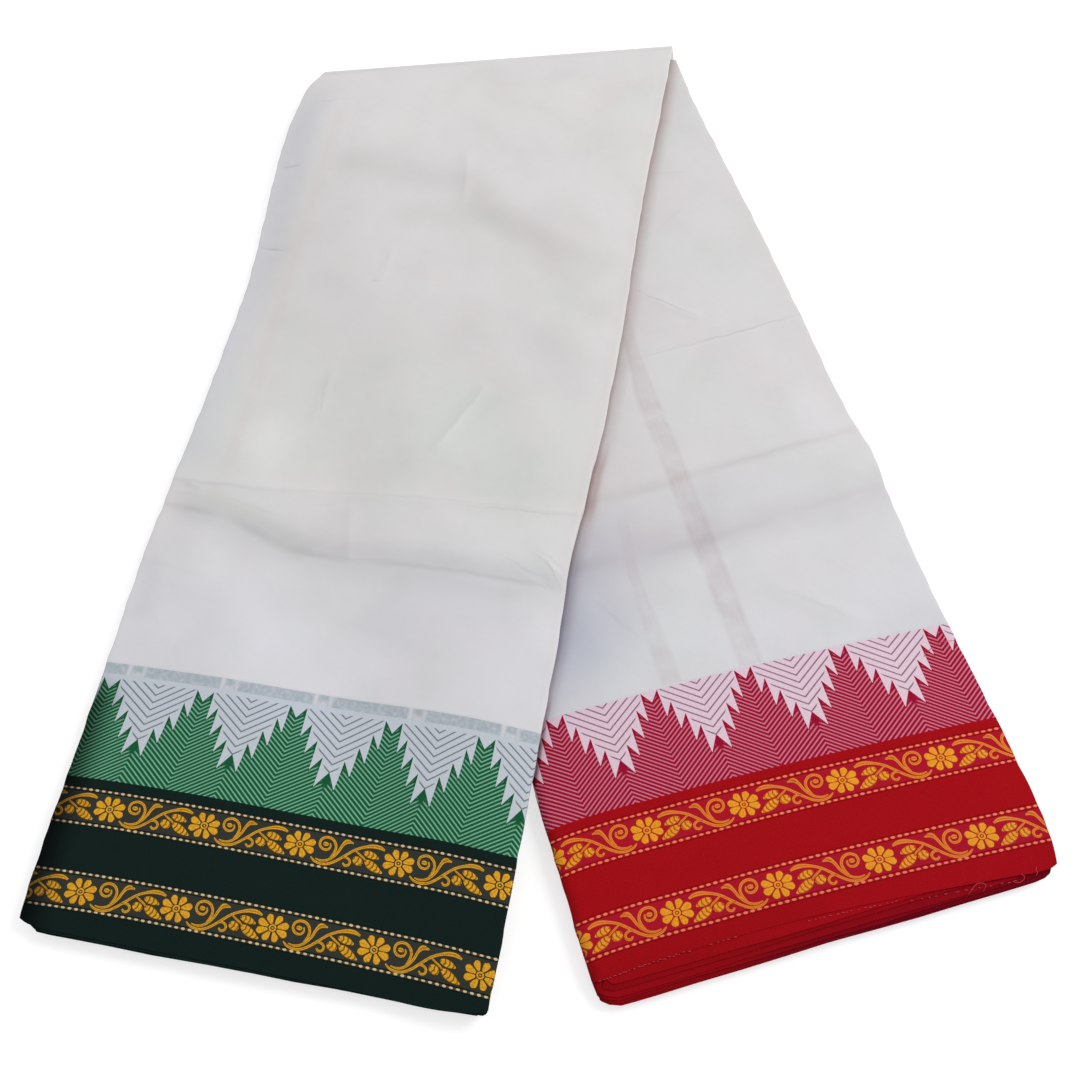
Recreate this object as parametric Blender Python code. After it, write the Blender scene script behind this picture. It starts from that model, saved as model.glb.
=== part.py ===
"""A folded dhoti: one long cotton cloth with a green border along one selvedge and a red border along the other.

The cloth's length is pleated to and fro into a strip of plies, which runs from selvedge to selvedge, and the
strip is folded over at its middle at a slant, so that its two arms part like a V. The upper arm ends in the
green border and lies on the lower arm, which ends in the red border.

Metres, +Z up. The fold lies along X at the back (+Y) and the arms run towards -Y. A point of an arm is given by
its reach from the fold's axis along the arm and its offset across the arm, to the right. The parting of the arms
from the Y axis is ARM_ANGLE each. The origin is the middle of the box's underside, on the floor.
"""

import math

import bmesh
import bpy
from mathutils import Vector

# ---- driving dimensions -------------------------------------------------------------------------------
STRIP_WIDTH = 0.235
CLOTH_LENGTH = 4.0
PLY_PITCH = 0.00053
ARM_ANGLE = math.radians(12.7)
FOLD_CENTRE = Vector((0.0022, 0.3113))

TOP_WALL = 0.0012
GAP = 0.0003
LIP_DEPTH = 0.0035
LIP_RADIUS = 0.0020
TURN_UNDER = 0.0145

SLOPE_START = 0.0020
SLOPE_RUN = 0.0950
SETTLE_RUN = 0.0300
LIFT_RUN = 0.0200

BORDER_DEPTH = {"green": 0.1415, "red": 0.1328}

UPPER, LOWER = -1, 1
HALF = STRIP_WIDTH / 2
PLIES = round(CLOTH_LENGTH / STRIP_WIDTH)
STACK = PLIES * PLY_PITCH
FOLD_RADIUS = STACK + GAP / 2
INNER_RADIUS = FOLD_RADIUS - TOP_WALL - GAP
FOLD_HEIGHT = FOLD_RADIUS  # how high the axis of the fold lies above the floor
DRIFT = math.pi * FOLD_RADIUS * math.tan(ARM_ANGLE)
TUCK = TOP_WALL + GAP

# Each arm: where its top ply ends, how far that end slants across, and the same for the plies beneath.
# columns: side, top ply's reach, its slant, hidden plies' reach, their slant
ARMS = {
    "upper": (UPPER, 0.6195, 0.012, 0.6200, 0.010),
    "lower": (LOWER, 0.6120, 0.030, 0.6205, -0.010),
}

# Outlines of the long edges: columns: reach along the arm, outward push of the left edge, of the right edge.
EDGES = {
    UPPER: (
        (-0.030, -0.0060, 0.0038),
        (0.015, -0.0060, 0.0036),
        (0.029, -0.0058, 0.0034),
        (0.038, 0.0070, 0.0033),
        (0.054, 0.0125, 0.0030),
        (0.075, 0.0140, 0.0025),
        (0.100, 0.0130, 0.0015),
        (0.155, 0.0083, -0.0008),
        (0.206, 0.0043, -0.0025),
        (0.255, 0.0030, -0.0040),
        (0.300, 0.0034, -0.0042),
        (0.355, 0.0050, -0.0030),
        (0.394, 0.0062, -0.0016),
        (0.462, 0.0050, 0.0008),
        (0.533, 0.0044, 0.0017),
        (0.595, 0.0032, 0.0010),
        (0.622, 0.0012, -0.0006),
    ),
    LOWER: (
        (-0.030, -0.0060, 0.0016),
        (0.030, -0.0060, 0.0004),
        (0.065, 0.0000, -0.0012),
        (0.120, 0.0000, -0.0004),
        (0.175, 0.0000, 0.0007),
        (0.260, 0.0000, 0.0010),
        (0.340, 0.0000, 0.0008),
        (0.355, 0.0000, 0.0018),
        (0.371, 0.0000, 0.0038),
        (0.394, 0.0000, 0.0018),
        (0.431, 0.0004, -0.0007),
        (0.469, 0.0008, -0.0011),
        (0.510, 0.0010, 0.0011),
        (0.560, 0.0002, 0.0011),
        (0.605, -0.0008, -0.0004),
        (0.622, -0.0024, -0.0045),
    ),
}

# The largest folds: the two creases of the shop's fold across each arm.
# columns: side, reach at the left edge, reach at the right edge, half width, height (down if negative)
CREASES = (
    (UPPER, 0.3575, 0.3530, 0.0070, 0.0006),
    (UPPER, 0.3800, 0.4000, 0.0130, -0.0009),
    (LOWER, 0.3560, 0.3540, 0.0070, 0.0006),
    (LOWER, 0.3950, 0.3940, 0.0130, -0.0009),
)

# The upper arm's left edge rolls down beside the fold.
ROLL_DROP, ROLL_WIDTH, ROLL_FROM, ROLL_TO = 0.0032, 0.028, 0.200, 0.270

# How the plies stand at the sides, from the underside up.
# columns: share of the height, inset at the long edges, reach past the green end, reach past the red end
LAYERS = (
    (0.00, 0.0016, -0.0028, -0.0042),
    (0.05, 0.0006, -0.0020, -0.0032),
    (0.16, 0.0004, -0.0014, -0.0022),
    (0.20, 0.0020, -0.0026, -0.0036),
    (0.25, 0.0005, -0.0008, -0.0012),
    (0.38, 0.0003, 0.0000, -0.0002),
    (0.43, 0.0022, -0.0012, -0.0016),
    (0.48, 0.0012, -0.0004, -0.0004),
    (0.60, 0.0014, -0.0002, -0.0008),
    (0.65, 0.0026, -0.0014, -0.0040),
    (0.70, 0.0022, -0.0008, -0.0032),
    (0.84, 0.0022, -0.0006, -0.0044),
    (0.90, 0.0032, -0.0012, -0.0074),
    (1.00, 0.0036, -0.0010, -0.0080),
)
SQUARE_INSET = TUCK + 0.0013

# Rows across each field, as reaches along the arm's middle; the borders' rows share out their own depth.
FIELD_ROWS = {
    "upper": (0.0, 0.003, 0.010, 0.020, 0.036, 0.062, 0.10, 0.15, 0.20, 0.25, 0.30, 0.335,
              0.348, 0.355, 0.362, 0.378, 0.394, 0.410, 0.435),
    "lower": (0.0, 0.003, 0.0045, 0.016, 0.018, 0.036, 0.10, 0.16, 0.22, 0.28, 0.335,
              0.348, 0.355, 0.362, 0.378, 0.394, 0.410, 0.435),
}
TOP_DROP_AT = 0.0045
TOP_PLY_FROM = 3
FLOOR_AT = 0.018
FREE_FROM = 0.030
BORDER_ROWS = 5
NOSE_STEPS = 8
CORNER_STEPS = 3

LEFT_CELLS, SLOPE_CELLS, LEDGE_CELLS = 2, 5, 3
LOWER_CELLS = 7
LEAST_CELL = 0.004

# Colours and finishes: columns: base colour, roughness
CLOTH_COLOURS = {
    "field": ((0.80, 0.79, 0.78, 1.0), 0.85),
    "plies": ((0.76, 0.75, 0.74, 1.0), 0.88),
    "green": ((0.012, 0.115, 0.045, 1.0), 0.75),
    "green plies": ((0.006, 0.030, 0.030, 1.0), 0.80),
    "red": ((0.420, 0.008, 0.016, 1.0), 0.75),
    "red plies": ((0.330, 0.006, 0.014, 1.0), 0.80),
}


# ---- small helpers ------------------------------------------------------------------------------------
def smooth(x):
    """Ease from 0 to 1 as x goes from 0 to 1, and hold outside."""
    x = min(max(x, 0.0), 1.0)
    return x * x * (3.0 - 2.0 * x)


def bump(x):
    """A soft hump: 1 at x = 0, down to 0 at x = -1 and 1."""
    return 1.0 - smooth(abs(x))


def read_table(table, x, column):
    """A column of a table at x, eased between its rows."""
    if x <= table[0][0]:
        return table[0][column]
    for low, high in zip(table, table[1:]):
        if x <= high[0]:
            share = smooth((x - low[0]) / (high[0] - low[0]))
            return low[column] + (high[column] - low[column]) * share
    return table[-1][column]


def clear_scene():
    for thing in list(bpy.data.objects):
        bpy.data.objects.remove(thing, do_unlink=True)


def cloth_material(name):
    colour, roughness = CLOTH_COLOURS[name]
    material = bpy.data.materials.new(f"{name} cloth")
    material.use_nodes = True
    shader = material.node_tree.nodes["Principled BSDF"]
    shader.inputs["Base Color"].default_value = colour
    shader.inputs["Roughness"].default_value = roughness
    shader.inputs["Metallic"].default_value = 0.0
    material.diffuse_color = colour
    return material


def lattice_body(name, rows, columns, levels, place, material):
    """A closed body on the skin of a box-shaped lattice; place(row, column, level) gives each point.

    Rows run away from the fold, columns to the right and levels up. Every cell is cut along the same
    diagonal, so that two bodies made on the same rows and columns keep their gap all over.
    """
    mesh = bmesh.new()
    points = {}

    def corner(i, j, k):
        if (i, j, k) not in points:
            points[i, j, k] = mesh.verts.new(place(i, j, k))
        return points[i, j, k]

    def cell(a, b, c, d):
        mesh.faces.new((a, b, c))
        mesh.faces.new((a, c, d))

    last_row, last_column, last_level = rows - 1, columns - 1, levels - 1
    for i in range(last_row):
        for j in range(last_column):
            for k in (0, last_level):
                cell(corner(i, j, k), corner(i + 1, j, k), corner(i + 1, j + 1, k), corner(i, j + 1, k))
        for k in range(last_level):
            for j in (0, last_column):
                cell(corner(i, j, k), corner(i + 1, j, k), corner(i + 1, j, k + 1), corner(i, j, k + 1))
    for j in range(last_column):
        for k in range(last_level):
            for i in (0, last_row):
                cell(corner(i, j, k), corner(i, j + 1, k), corner(i, j + 1, k + 1), corner(i, j, k + 1))
    bmesh.ops.recalc_face_normals(mesh, faces=mesh.faces)
    data = bpy.data.meshes.new(name)
    mesh.to_mesh(data)
    mesh.free()
    data.shade_smooth()
    data.set_sharp_from_angle(angle=math.radians(35))
    data.materials.append(material)
    body = bpy.data.objects.new(name, data)
    bpy.context.scene.collection.objects.link(body)
    return body


# ---- where the arms lie -------------------------------------------------------------------------------
def along(side):
    return Vector((side * math.sin(ARM_ANGLE), -math.cos(ARM_ANGLE)))


def across(side):
    return Vector((math.cos(ARM_ANGLE), side * math.sin(ARM_ANGLE)))


def arm_root(side):
    """Where an arm's middle line meets the fold's axis; going round the fold carries the strip sideways."""
    return FOLD_CENTRE + Vector((side * DRIFT / 2, 0.0))


def plan(side, reach, offset):
    """The plan point of an arm at a reach and an offset."""
    return arm_root(side) + along(side) * reach + across(side) * offset


def offset_in(side, point):
    """How far to the right of an arm's middle line a plan point lies."""
    return (point - arm_root(side)).dot(across(side))


def reach_in(side, point):
    return (point - arm_root(side)).dot(along(side))


def row_reach(side, share_out, end, slant, offset):
    """A row's reach at an offset: along the fold's slant at the root, and along the end's slant at the end."""
    root = side * math.tan(ARM_ANGLE) * offset
    tip = end + slant * offset
    return root + (tip - root) * share_out


def edge_offset(side, reach, hand):
    """The offset of an arm's left (hand -1) or right (hand 1) edge at a reach."""
    column = 1 if hand < 0 else 2
    return hand * (HALF + read_table(EDGES[side], reach, column))


def settled(point):
    """How freely a plan point sinks: 0 on the fold, where the turn of the plies holds it up, then 1."""
    return smooth((FOLD_CENTRE.y - point.y) / SETTLE_RUN)


def rest_height(point):
    """The underside of the upper arm: flat on the lower arm, then down past its left edge to the floor."""
    beyond = -(offset_in(LOWER, point) + HALF) - SLOPE_START
    return (STACK + GAP) * (1.0 - smooth(beyond / SLOPE_RUN) * settled(point))


def relief(side, reach, offset):
    """How far the creases and the rolled edge lift or lower an arm's top."""
    lift = 0.0
    share = (offset + HALF) / STRIP_WIDTH
    for arm, at_left, at_right, half_width, height in CREASES:
        if arm == side:
            middle = at_left + (at_right - at_left) * share
            lift += height * bump((reach - middle) / half_width)
    if side == UPPER:
        fading = 1.0 - smooth((reach - ROLL_FROM) / (ROLL_TO - ROLL_FROM))
        edge = edge_offset(side, reach, -1)
        fading *= settled(plan(side, reach, offset))
        lift -= ROLL_DROP * smooth((edge + ROLL_WIDTH - offset) / ROLL_WIDTH) * fading
    else:
        point = plan(side, reach, offset)
        upper_edge = edge_offset(UPPER, reach_in(UPPER, point), 1)
        lift *= smooth((offset_in(UPPER, point) - upper_edge - SLOPE_START) / LIFT_RUN)
    return lift


def underside(side, point):
    return rest_height(point) if side == UPPER else 0.0


def topside(side, reach, offset):
    """The height of the outer face of an arm's top ply."""
    return underside(side, plan(side, reach, offset)) + STACK + relief(side, reach, offset)


def columns_at(side, share_out, end, slant):
    """The offsets of a row's columns. The upper arm's follow the slope where it leaves the lower arm."""
    middle = row_reach(side, share_out, end, slant, 0.0)
    left = edge_offset(side, row_reach(side, share_out, end, slant, -HALF), -1) + LIP_RADIUS
    right = edge_offset(side, row_reach(side, share_out, end, slant, HALF), 1) - LIP_RADIUS
    if side == LOWER:
        return [left + (right - left) * j / LOWER_CELLS for j in range(LOWER_CELLS + 1)]
    here = offset_in(LOWER, plan(side, middle, 0.0))
    there = offset_in(LOWER, plan(side, row_reach(side, share_out, end, slant, HALF), HALF))
    rate = (there - here) / HALF
    head = (-HALF - SLOPE_START - here) / rate
    foot = (-HALF - SLOPE_START - SLOPE_RUN - here) / rate
    head = min(max(head, left + LEAST_CELL * (LEFT_CELLS + SLOPE_CELLS)), right - LEAST_CELL * LEDGE_CELLS)
    foot = min(max(foot, left + LEAST_CELL * LEFT_CELLS), head - LEAST_CELL * SLOPE_CELLS)
    offsets = [left + (foot - left) * j / LEFT_CELLS for j in range(LEFT_CELLS)]
    offsets += [foot + (head - foot) * j / SLOPE_CELLS for j in range(SLOPE_CELLS)]
    offsets += [head + (right - head) * j / LEDGE_CELLS for j in range(LEDGE_CELLS + 1)]
    return offsets


# ---- the top plies ------------------------------------------------------------------------------------
def fold_edges(turned):
    """Where the flat of the strip ends at the left and right, part of the way round the fold."""
    ends = []
    for column in (0, -1):
        above = columns_at(UPPER, 0.0, *ARMS["upper"][1:3])[column]
        below = columns_at(LOWER, 0.0, *ARMS["lower"][1:3])[column]
        ends.append(above + (below - above) * min(turned / math.pi, 1.0))
    return ends


def wall_section(offsets):
    """The top ply's section at a row: (offset, depth) pairs of its outer face and of its inner face.

    It lies flat between the columns and turns down over each long edge as a rounded lip.
    """
    outer, inner = [], []
    for hand in (-1, 1):
        base = offsets[0] if hand < 0 else offsets[-1]
        turn = [(math.pi / 2 * step / CORNER_STEPS) for step in range(1, CORNER_STEPS + 1)]
        lip_out = [(base + hand * LIP_RADIUS * math.sin(a), LIP_RADIUS * (1 - math.cos(a))) for a in turn]
        thin = LIP_RADIUS - TOP_WALL
        lip_in = [(base + hand * thin * math.sin(a), LIP_RADIUS - thin * math.cos(a)) for a in turn]
        lip_out.append((base + hand * LIP_RADIUS, LIP_DEPTH))
        lip_in.append((base + hand * thin, LIP_DEPTH))
        if hand < 0:
            outer = lip_out[::-1] + [(x, 0.0) for x in offsets]
            inner = lip_in[::-1] + [(x, TOP_WALL) for x in offsets]
        else:
            outer += lip_out
            inner += lip_in
    return outer, inner


def lay_on_arm(side, reach, offset, depth):
    """A point of the top ply, at a depth below its outer face."""
    flat = plan(side, reach, offset)
    return Vector((flat.x, flat.y, topside(side, reach, offset) - depth))


def lay_round_fold(behind, offset, depth):
    """A point of the outer ply behind the fold's axis: round the fold, then on under the lower arm."""
    slanted = (-behind - offset * math.sin(ARM_ANGLE)) / math.cos(ARM_ANGLE)
    flat = plan(UPPER, slanted, offset)
    turned = behind / FOLD_RADIUS
    if turned <= math.pi:
        radius = FOLD_RADIUS - depth
        return Vector((flat.x, FOLD_CENTRE.y + radius * math.sin(turned),
                       FOLD_HEIGHT + radius * math.cos(turned)))
    return Vector((flat.x, FOLD_CENTRE.y - (behind - math.pi * FOLD_RADIUS), depth))


def field_rows(arm, start=0):
    """The shares of the way out at which an arm's field has rows, from a row index to its border."""
    side, end, slant, _, _ = ARMS[arm]
    border = end - BORDER_DEPTH["green" if arm == "upper" else "red"]
    return [reach / end for reach in FIELD_ROWS[arm][start:]] + [border / end]


def border_rows(arm, colour):
    _, end, _, _, _ = ARMS[arm]
    start = end - BORDER_DEPTH[colour] + GAP
    return [(start + (end - start) * i / BORDER_ROWS) / end for i in range(BORDER_ROWS + 1)]


def top_ply(name, arm, shares, material, over_fold=False):
    """A wall that is an arm's top ply over the given rows, and the turn of the fold where asked."""
    side, end, slant, _, _ = ARMS[arm]
    behind = []
    if over_fold:
        behind = [math.pi * FOLD_RADIUS + TURN_UNDER, math.pi * FOLD_RADIUS + TURN_UNDER / 2]
        behind += [math.pi * FOLD_RADIUS * (1 - step / NOSE_STEPS) for step in range(NOSE_STEPS)]
    at_fold = columns_at(side, 0.0, end, slant)
    sections = []
    for distance in behind:
        left, right = fold_edges(distance / FOLD_RADIUS)
        offsets = [left] + at_fold[1:-1] + [right]
        sections.append([(distance, pair) for pair in zip(*wall_section(offsets))])
    for share in shares:
        offsets = columns_at(side, share, end, slant)
        sections.append([(-share, pair) for pair in zip(*wall_section(offsets))])

    def place(i, j, k):
        where, (outer, inner) = sections[i][j]
        offset, depth = outer if k else inner
        if where > 0.0:
            return lay_round_fold(where, offset, depth)
        reach = row_reach(side, -where, end, slant, outer[0])
        return lay_on_arm(side, reach, offset, depth)

    return lattice_body(name, len(sections), len(sections[0]), 2, place, material)


# ---- the hidden plies ---------------------------------------------------------------------------------
def round_fold(side, offsets, column, share):
    """A point of the hidden plies' rounded end behind the fold, at a share of the arm's own height."""
    low = STACK + GAP if side == UPPER else TUCK
    high = 2 * STACK + GAP - TUCK if side == UPPER else STACK
    level = low + (high - low) * share
    turned = math.acos(min(max((level - FOLD_HEIGHT) / INNER_RADIUS, -1.0), 1.0))
    offset = offsets[column]
    if column in (0, len(offsets) - 1):
        hand = -1 if column == 0 else 1
        offset = fold_edges(turned)[max(hand, 0)] - hand * (SQUARE_INSET - LIP_RADIUS)
    flat = plan(side, side * math.tan(ARM_ANGLE) * offset, offset)
    swing = turned if side == UPPER else turned - math.pi
    return Vector((flat.x + FOLD_RADIUS * swing * math.tan(ARM_ANGLE),
                   flat.y + INNER_RADIUS * math.sin(turned), level))


def plies(name, arm, shares, material, colour=None, from_fold=False):
    """The plies under an arm's top ply over the given rows, as one solid that is layered at its edges."""
    side, end, slant, plies_end, plies_slant = ARMS[arm]
    last = len(shares) - 1

    def place(i, j, k):
        share, inset, green_reach, red_reach = LAYERS[k]
        offsets = columns_at(side, shares[i], end, slant)
        if from_fold and i == 0:
            return round_fold(side, offsets, j, share)
        offset = offsets[j]
        middle = shares[i] * end
        reach = row_reach(side, shares[i], end, slant, offset)
        if j in (0, len(offsets) - 1):
            hand = -1 if j == 0 else 1
            # Beside the fold all the plies stand square, inside the turned lips of the top ply.
            square = SQUARE_INSET if share < 1.0 else inset
            eased = smooth((middle - FLOOR_AT) / (FREE_FROM - FLOOR_AT))
            offset -= hand * (square + (inset - square) * eased - LIP_RADIUS)
        if colour and i == last:
            reach = plies_end + plies_slant * offset + (green_reach if colour == "green" else red_reach)
        flat = plan(side, reach, offset)
        low = underside(side, flat)
        high = topside(side, reach, offset) - TUCK
        if from_fold and side == LOWER:
            # The outer ply passes under the lower arm beside the fold, and over it only further out.
            low = TUCK if middle < FLOOR_AT else 0.0
            high = STACK if middle < TOP_DROP_AT else high
        return Vector((flat.x, flat.y, low + (high - low) * share))

    width = len(columns_at(side, shares[0], end, slant))
    return lattice_body(name, len(shares), width, len(LAYERS), place, material)


# ---- the whole cloth ----------------------------------------------------------------------------------
def make_part():
    clear_scene()
    white, inner = cloth_material("field"), cloth_material("plies")
    green, green_inner = cloth_material("green"), cloth_material("green plies")
    red, red_inner = cloth_material("red"), cloth_material("red plies")
    top_ply("upper_field", "upper", field_rows("upper"), white, over_fold=True)
    top_ply("green_border", "upper", border_rows("upper", "green"), green)
    top_ply("lower_field", "lower", field_rows("lower", TOP_PLY_FROM), white)
    top_ply("red_border", "lower", border_rows("lower", "red"), red)
    plies("upper_plies", "upper", field_rows("upper"), inner, from_fold=True)
    plies("green_border_plies", "upper", border_rows("upper", "green"), green_inner, colour="green")
    plies("lower_plies", "lower", field_rows("lower"), inner, from_fold=True)
    plies("red_border_plies", "lower", border_rows("lower", "red"), red_inner, colour="red")


make_part()
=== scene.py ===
"""Dresses the folded dhoti cloth: its white cotton, its woven temple borders, their gold vines and its plies.

Laid out as an add-on and run as a script. Metres, +Z up, in the frame's own coordinates; the tables are in
millimetres, unless a comment says otherwise. A point of an arm is given by its reach from the fold's axis
along the arm, and by its offset across the arm, to the right.
"""

import math

import bmesh
import bpy
import numpy as np
from bpy.props import FloatProperty, FloatVectorProperty, IntProperty, PointerProperty
from mathutils import Matrix, Vector


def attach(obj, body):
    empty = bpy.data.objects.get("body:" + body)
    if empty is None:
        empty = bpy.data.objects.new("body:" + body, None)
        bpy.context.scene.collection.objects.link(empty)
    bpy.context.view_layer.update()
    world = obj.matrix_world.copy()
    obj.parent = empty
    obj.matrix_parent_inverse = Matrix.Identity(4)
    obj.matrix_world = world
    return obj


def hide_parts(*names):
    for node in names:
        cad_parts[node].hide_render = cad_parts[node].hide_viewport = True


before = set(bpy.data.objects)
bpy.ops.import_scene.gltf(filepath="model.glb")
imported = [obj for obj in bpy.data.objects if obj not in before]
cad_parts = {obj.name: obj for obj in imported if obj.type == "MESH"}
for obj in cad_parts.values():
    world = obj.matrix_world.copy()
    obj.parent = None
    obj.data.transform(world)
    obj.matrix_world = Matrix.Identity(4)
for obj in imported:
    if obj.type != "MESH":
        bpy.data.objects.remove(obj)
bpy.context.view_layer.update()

bl_info = {
    "name": "Folded dhoti",
    "version": (1, 0, 0),
    "blender": (4, 5, 0),
    "location": "3D View > Sidebar > Dhoti",
    "description": "Builds a folded cotton dhoti with green and red temple borders and gold vines",
    "category": "Object",
}

# ---- the folded strip, in the frame's sizes -------------------------------------------------------------
HALF = 0.235 / 2  # half the strip's width
ARM_ANGLE = math.radians(12.7)
FOLD_CENTRE = (0.0022, 0.3113)
STACK = 0.00901  # an arm's thickness
LAY_GAP = 0.0003  # between the arms
FOLD_RADIUS = STACK + LAY_GAP / 2
DRIFT = math.pi * FOLD_RADIUS * math.tan(ARM_ANGLE)
TURN_UNDER = 0.0145  # how far the top ply runs on past the fold, under the lower arm
# How the upper arm comes down beside the lower one, and how the lower arm's creases start clear of it.
SLOPE_START, SLOPE_RUN, SETTLE_RUN, LIFT_RUN = 0.0020, 0.0950, 0.0300, 0.0200
# The upper arm's rolled left edge: its drop and width, and the reaches between which it fades out.
ROLL_DROP, ROLL_WIDTH, ROLL_FROM, ROLL_TO = 0.0032, 0.028, 0.200, 0.270
# Slow waves of the cloth: length, phase, height; how much aslant they run; how far from the fold they grow.
WAVES_ALONG = (0.117, 0.4, 0.00016), (0.071, 2.1, 0.00008)
WAVES_ACROSS = (0.093, 1.2, 0.00014), (0.058, 4.0, 0.00007)
ASLANT_ALONG, ASLANT_ACROSS, WAVES_GROW = 0.6, -0.3, 0.08
# Small waves of the long edges: length, how much each edge's phase differs from the last one's, height.
EDGE_WAVES = (0.0310, 1.3, 0.00016), (0.0173, 2.1, 0.00012), (0.0112, 0.7, 0.00006)

UPPER, LOWER = -1, 1
BORDERS = {UPPER: "green", LOWER: "red"}

# Outlines of the long edges: columns: reach along the arm, outward push of the left edge, of the right edge.
EDGES = {
    UPPER: (
        (-30, -6, 3.8), (11, -5.8, 3.7), (19, -3.2, 3.6), (26, 0.8, 3.4), (33, 4.8, 3.4), (41, 8.1, 3.3),
        (54, 11, 3), (75, 12.7, 2.6), (100, 12.3, 2.5), (155, 8.3, 3.1), (206, 4.3, 4.5), (235, 3.4, 4.7),
        (265, 3, 4.3), (300, 3.4, 3.7), (318, 3.8, 2.3), (355, 5, 0.8), (372, 5.6, -0.6), (394, 6.2, -0.7),
        (420, 5.7, 0.5), (462, 4.6, 0.8), (533, 3.4, 0.6), (595, 2.4, 0), (622, 1, -1),
    ),
    LOWER: (
        (-30, -6, 1.6), (30, -6, 0.4), (65, 0, -1.2), (120, 0, -0.4), (175, 0, 0.7), (260, 0, 1),
        (340, 0, 0.8), (355, 0, 1.8), (371, 0, 3.8), (394, 0, 1.8), (431, 0.2, -0.2), (469, 0, -0.6),
        (510, 0, -0.2), (560, -0.6, 0.6), (605, -1.4, -1.2), (622, -2.6, -5.2),
    ),
}

# Creases and soft hollows: half width, height (down if negative), then points: reach, offset.
# The first of each arm is the fold pressed in across it, and the second is the trough past it.
CREASES = {
    UPPER: (
        (7, 0.6, (357.2, -135), (352.8, 135)),
        (12, -1.1, (376.7, -135), (382.5, -76.8), (395.2, -42.4), (394.5, 20), (399.2, 135)),
        (5.5, 0.4, (364, -12.6), (394.5, -6.5)),
        (6, 0.7, (380, 100), (401, 115.4)),
        (26, -0.8, (100, -75), (112, -10), (150, 50), (205, 115)),
        (20, 0.7, (225, 70), (245, 125)),
        (6, 0.5, (89.1, -0.8), (130, 4.3)),
        (5, 0.3, (178, -32), (202, -33)),
        (6, 0.4, (274, -47), (304, -49.5)),
        (7, 0.8, (277, 47.4), (318.8, 29.2)),
        (4.5, -0.6, (176.1, -123), (180.7, -102.8)),
        (4.5, -0.6, (109, -129), (110, -115)),
        (20, 0.6, (425, -90), (440, -50)),
        (22, 0.6, (430, 30), (445, 90)),
    ),
    LOWER: (
        (7, 0.6, (357.5, -90), (354.1, 13.8), (354.2, 135)),
        (13, -1, (395, -90), (394, 10), (394.2, 135)),
        (5, 0.5, (268.5, 20), (266.2, 113)),
        (4.8, 0.6, (216.3, 27.9), (248.6, 58.2)),
        (5, 0.4, (124.7, 68.5), (131.9, 95.9)),
        (9, 0.6, (439.7, 39.4), (468.8, 73.4)),
        (16, -0.6, (415, -55), (460, -45)),
    ),
}
TROUGH = 1

# Fine creases, as long spots on the cloth: reach and offset of the middle, turn in degrees from straight
# across, half length, half width, and how much painted shade it gets (painted light if negative).
FINE_CREASES = {
    UPPER: (
        (178.5, -112, -14, 12, 1.3, 0.2), (180, -112, -14, 12, 1.6, -0.05), (109, -119, 0, 8, 1.3, 0.16),
        (50, -108, 8, 12, 1.3, 0.06), (111, 1.5, -83, 26, 2, 0.06), (190, -32.5, -88, 15, 1.1, 0.06),
        (202.5, -36.5, 0, 4, 1, 0.1), (289, -48.3, -85, 19, 1.2, 0.08), (297.9, 39.5, 66, 28, 1.8, -0.06),
        (297.9, 36.5, 66, 28, 1.8, 0.05), (354.8, -1.8, 1, 200, 1.3, 0.05), (355.2, 90, 2, 52, 1.1, 0.1),
        (357.5, -95, 1, 50, 1.6, 0.09), (360, -112, -20, 11, 2.6, 0.1), (353, 50, 1, 100, 1.4, -0.03),
        (392.6, 109.3, -54, 13, 1.2, 0.13), (388, 106, -36, 18, 1.1, 0.08), (384.5, 107.5, -28, 15, 1, 0.06),
        (386.5, 106.5, -33, 15, 1.2, -0.05), (379, -9.6, -79, 19, 1.4, -0.03), (366, -112, -4, 12, 1.8, 0.07),
        (375, -106, -5, 26, 3, 0.11), (385, -64, -24, 27, 4.6, 0.11), (394, -26, -8, 30, 3.4, 0.12),
        (396.5, 30, -1, 42, 2.8, 0.1), (398, 83, -3, 40, 2.6, 0.1), (401, 70, -2, 56, 3.4, -0.04),
        (390, 93, -22, 22, 1.2, 0.07), (395.5, 99, -30, 16, 1.2, -0.05), (369, -70, -12, 30, 1.6, 0.04),
        (385, -10, 14, 16, 1.2, -0.04), (363, -30, 5, 10, 1, 0.04), (60, 0, -60, 16, 3, 0.03),
        (415, -102, -8, 30, 3, 0.03), (435, 10, -14, 40, 4, 0.02),
    ),
    LOWER: (
        (232.5, 43, -47, 26, 0.9, 0.16), (233.5, 42.2, -47, 26, 1.2, -0.04), (266.8, 68, 1, 80, 1.2, 0.09),
        (266.8, 84, 2, 34, 1.2, 0.07), (268.4, 68, 1, 80, 1.5, -0.03), (356, 38, 1, 150, 2.8, 0.05),
        (359, -10, 2, 30, 2.4, 0.06), (354.5, 70, 1, 60, 1.8, 0.04), (394.5, -56, 2, 22, 6, 0.1),
        (398.5, 2, -1, 28, 5, 0.08), (397.2, 33, 2, 26, 4.6, 0.07), (393.6, 86, 1, 42, 4, 0.05),
        (128.3, 82.2, -15, 18, 1.2, 0.07), (165, 70, 30, 20, 1.4, 0.04), (454.3, 56.4, -41, 30, 1.8, 0.07),
        (430, -50, -60, 24, 2, 0.05),
    ),
}
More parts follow.
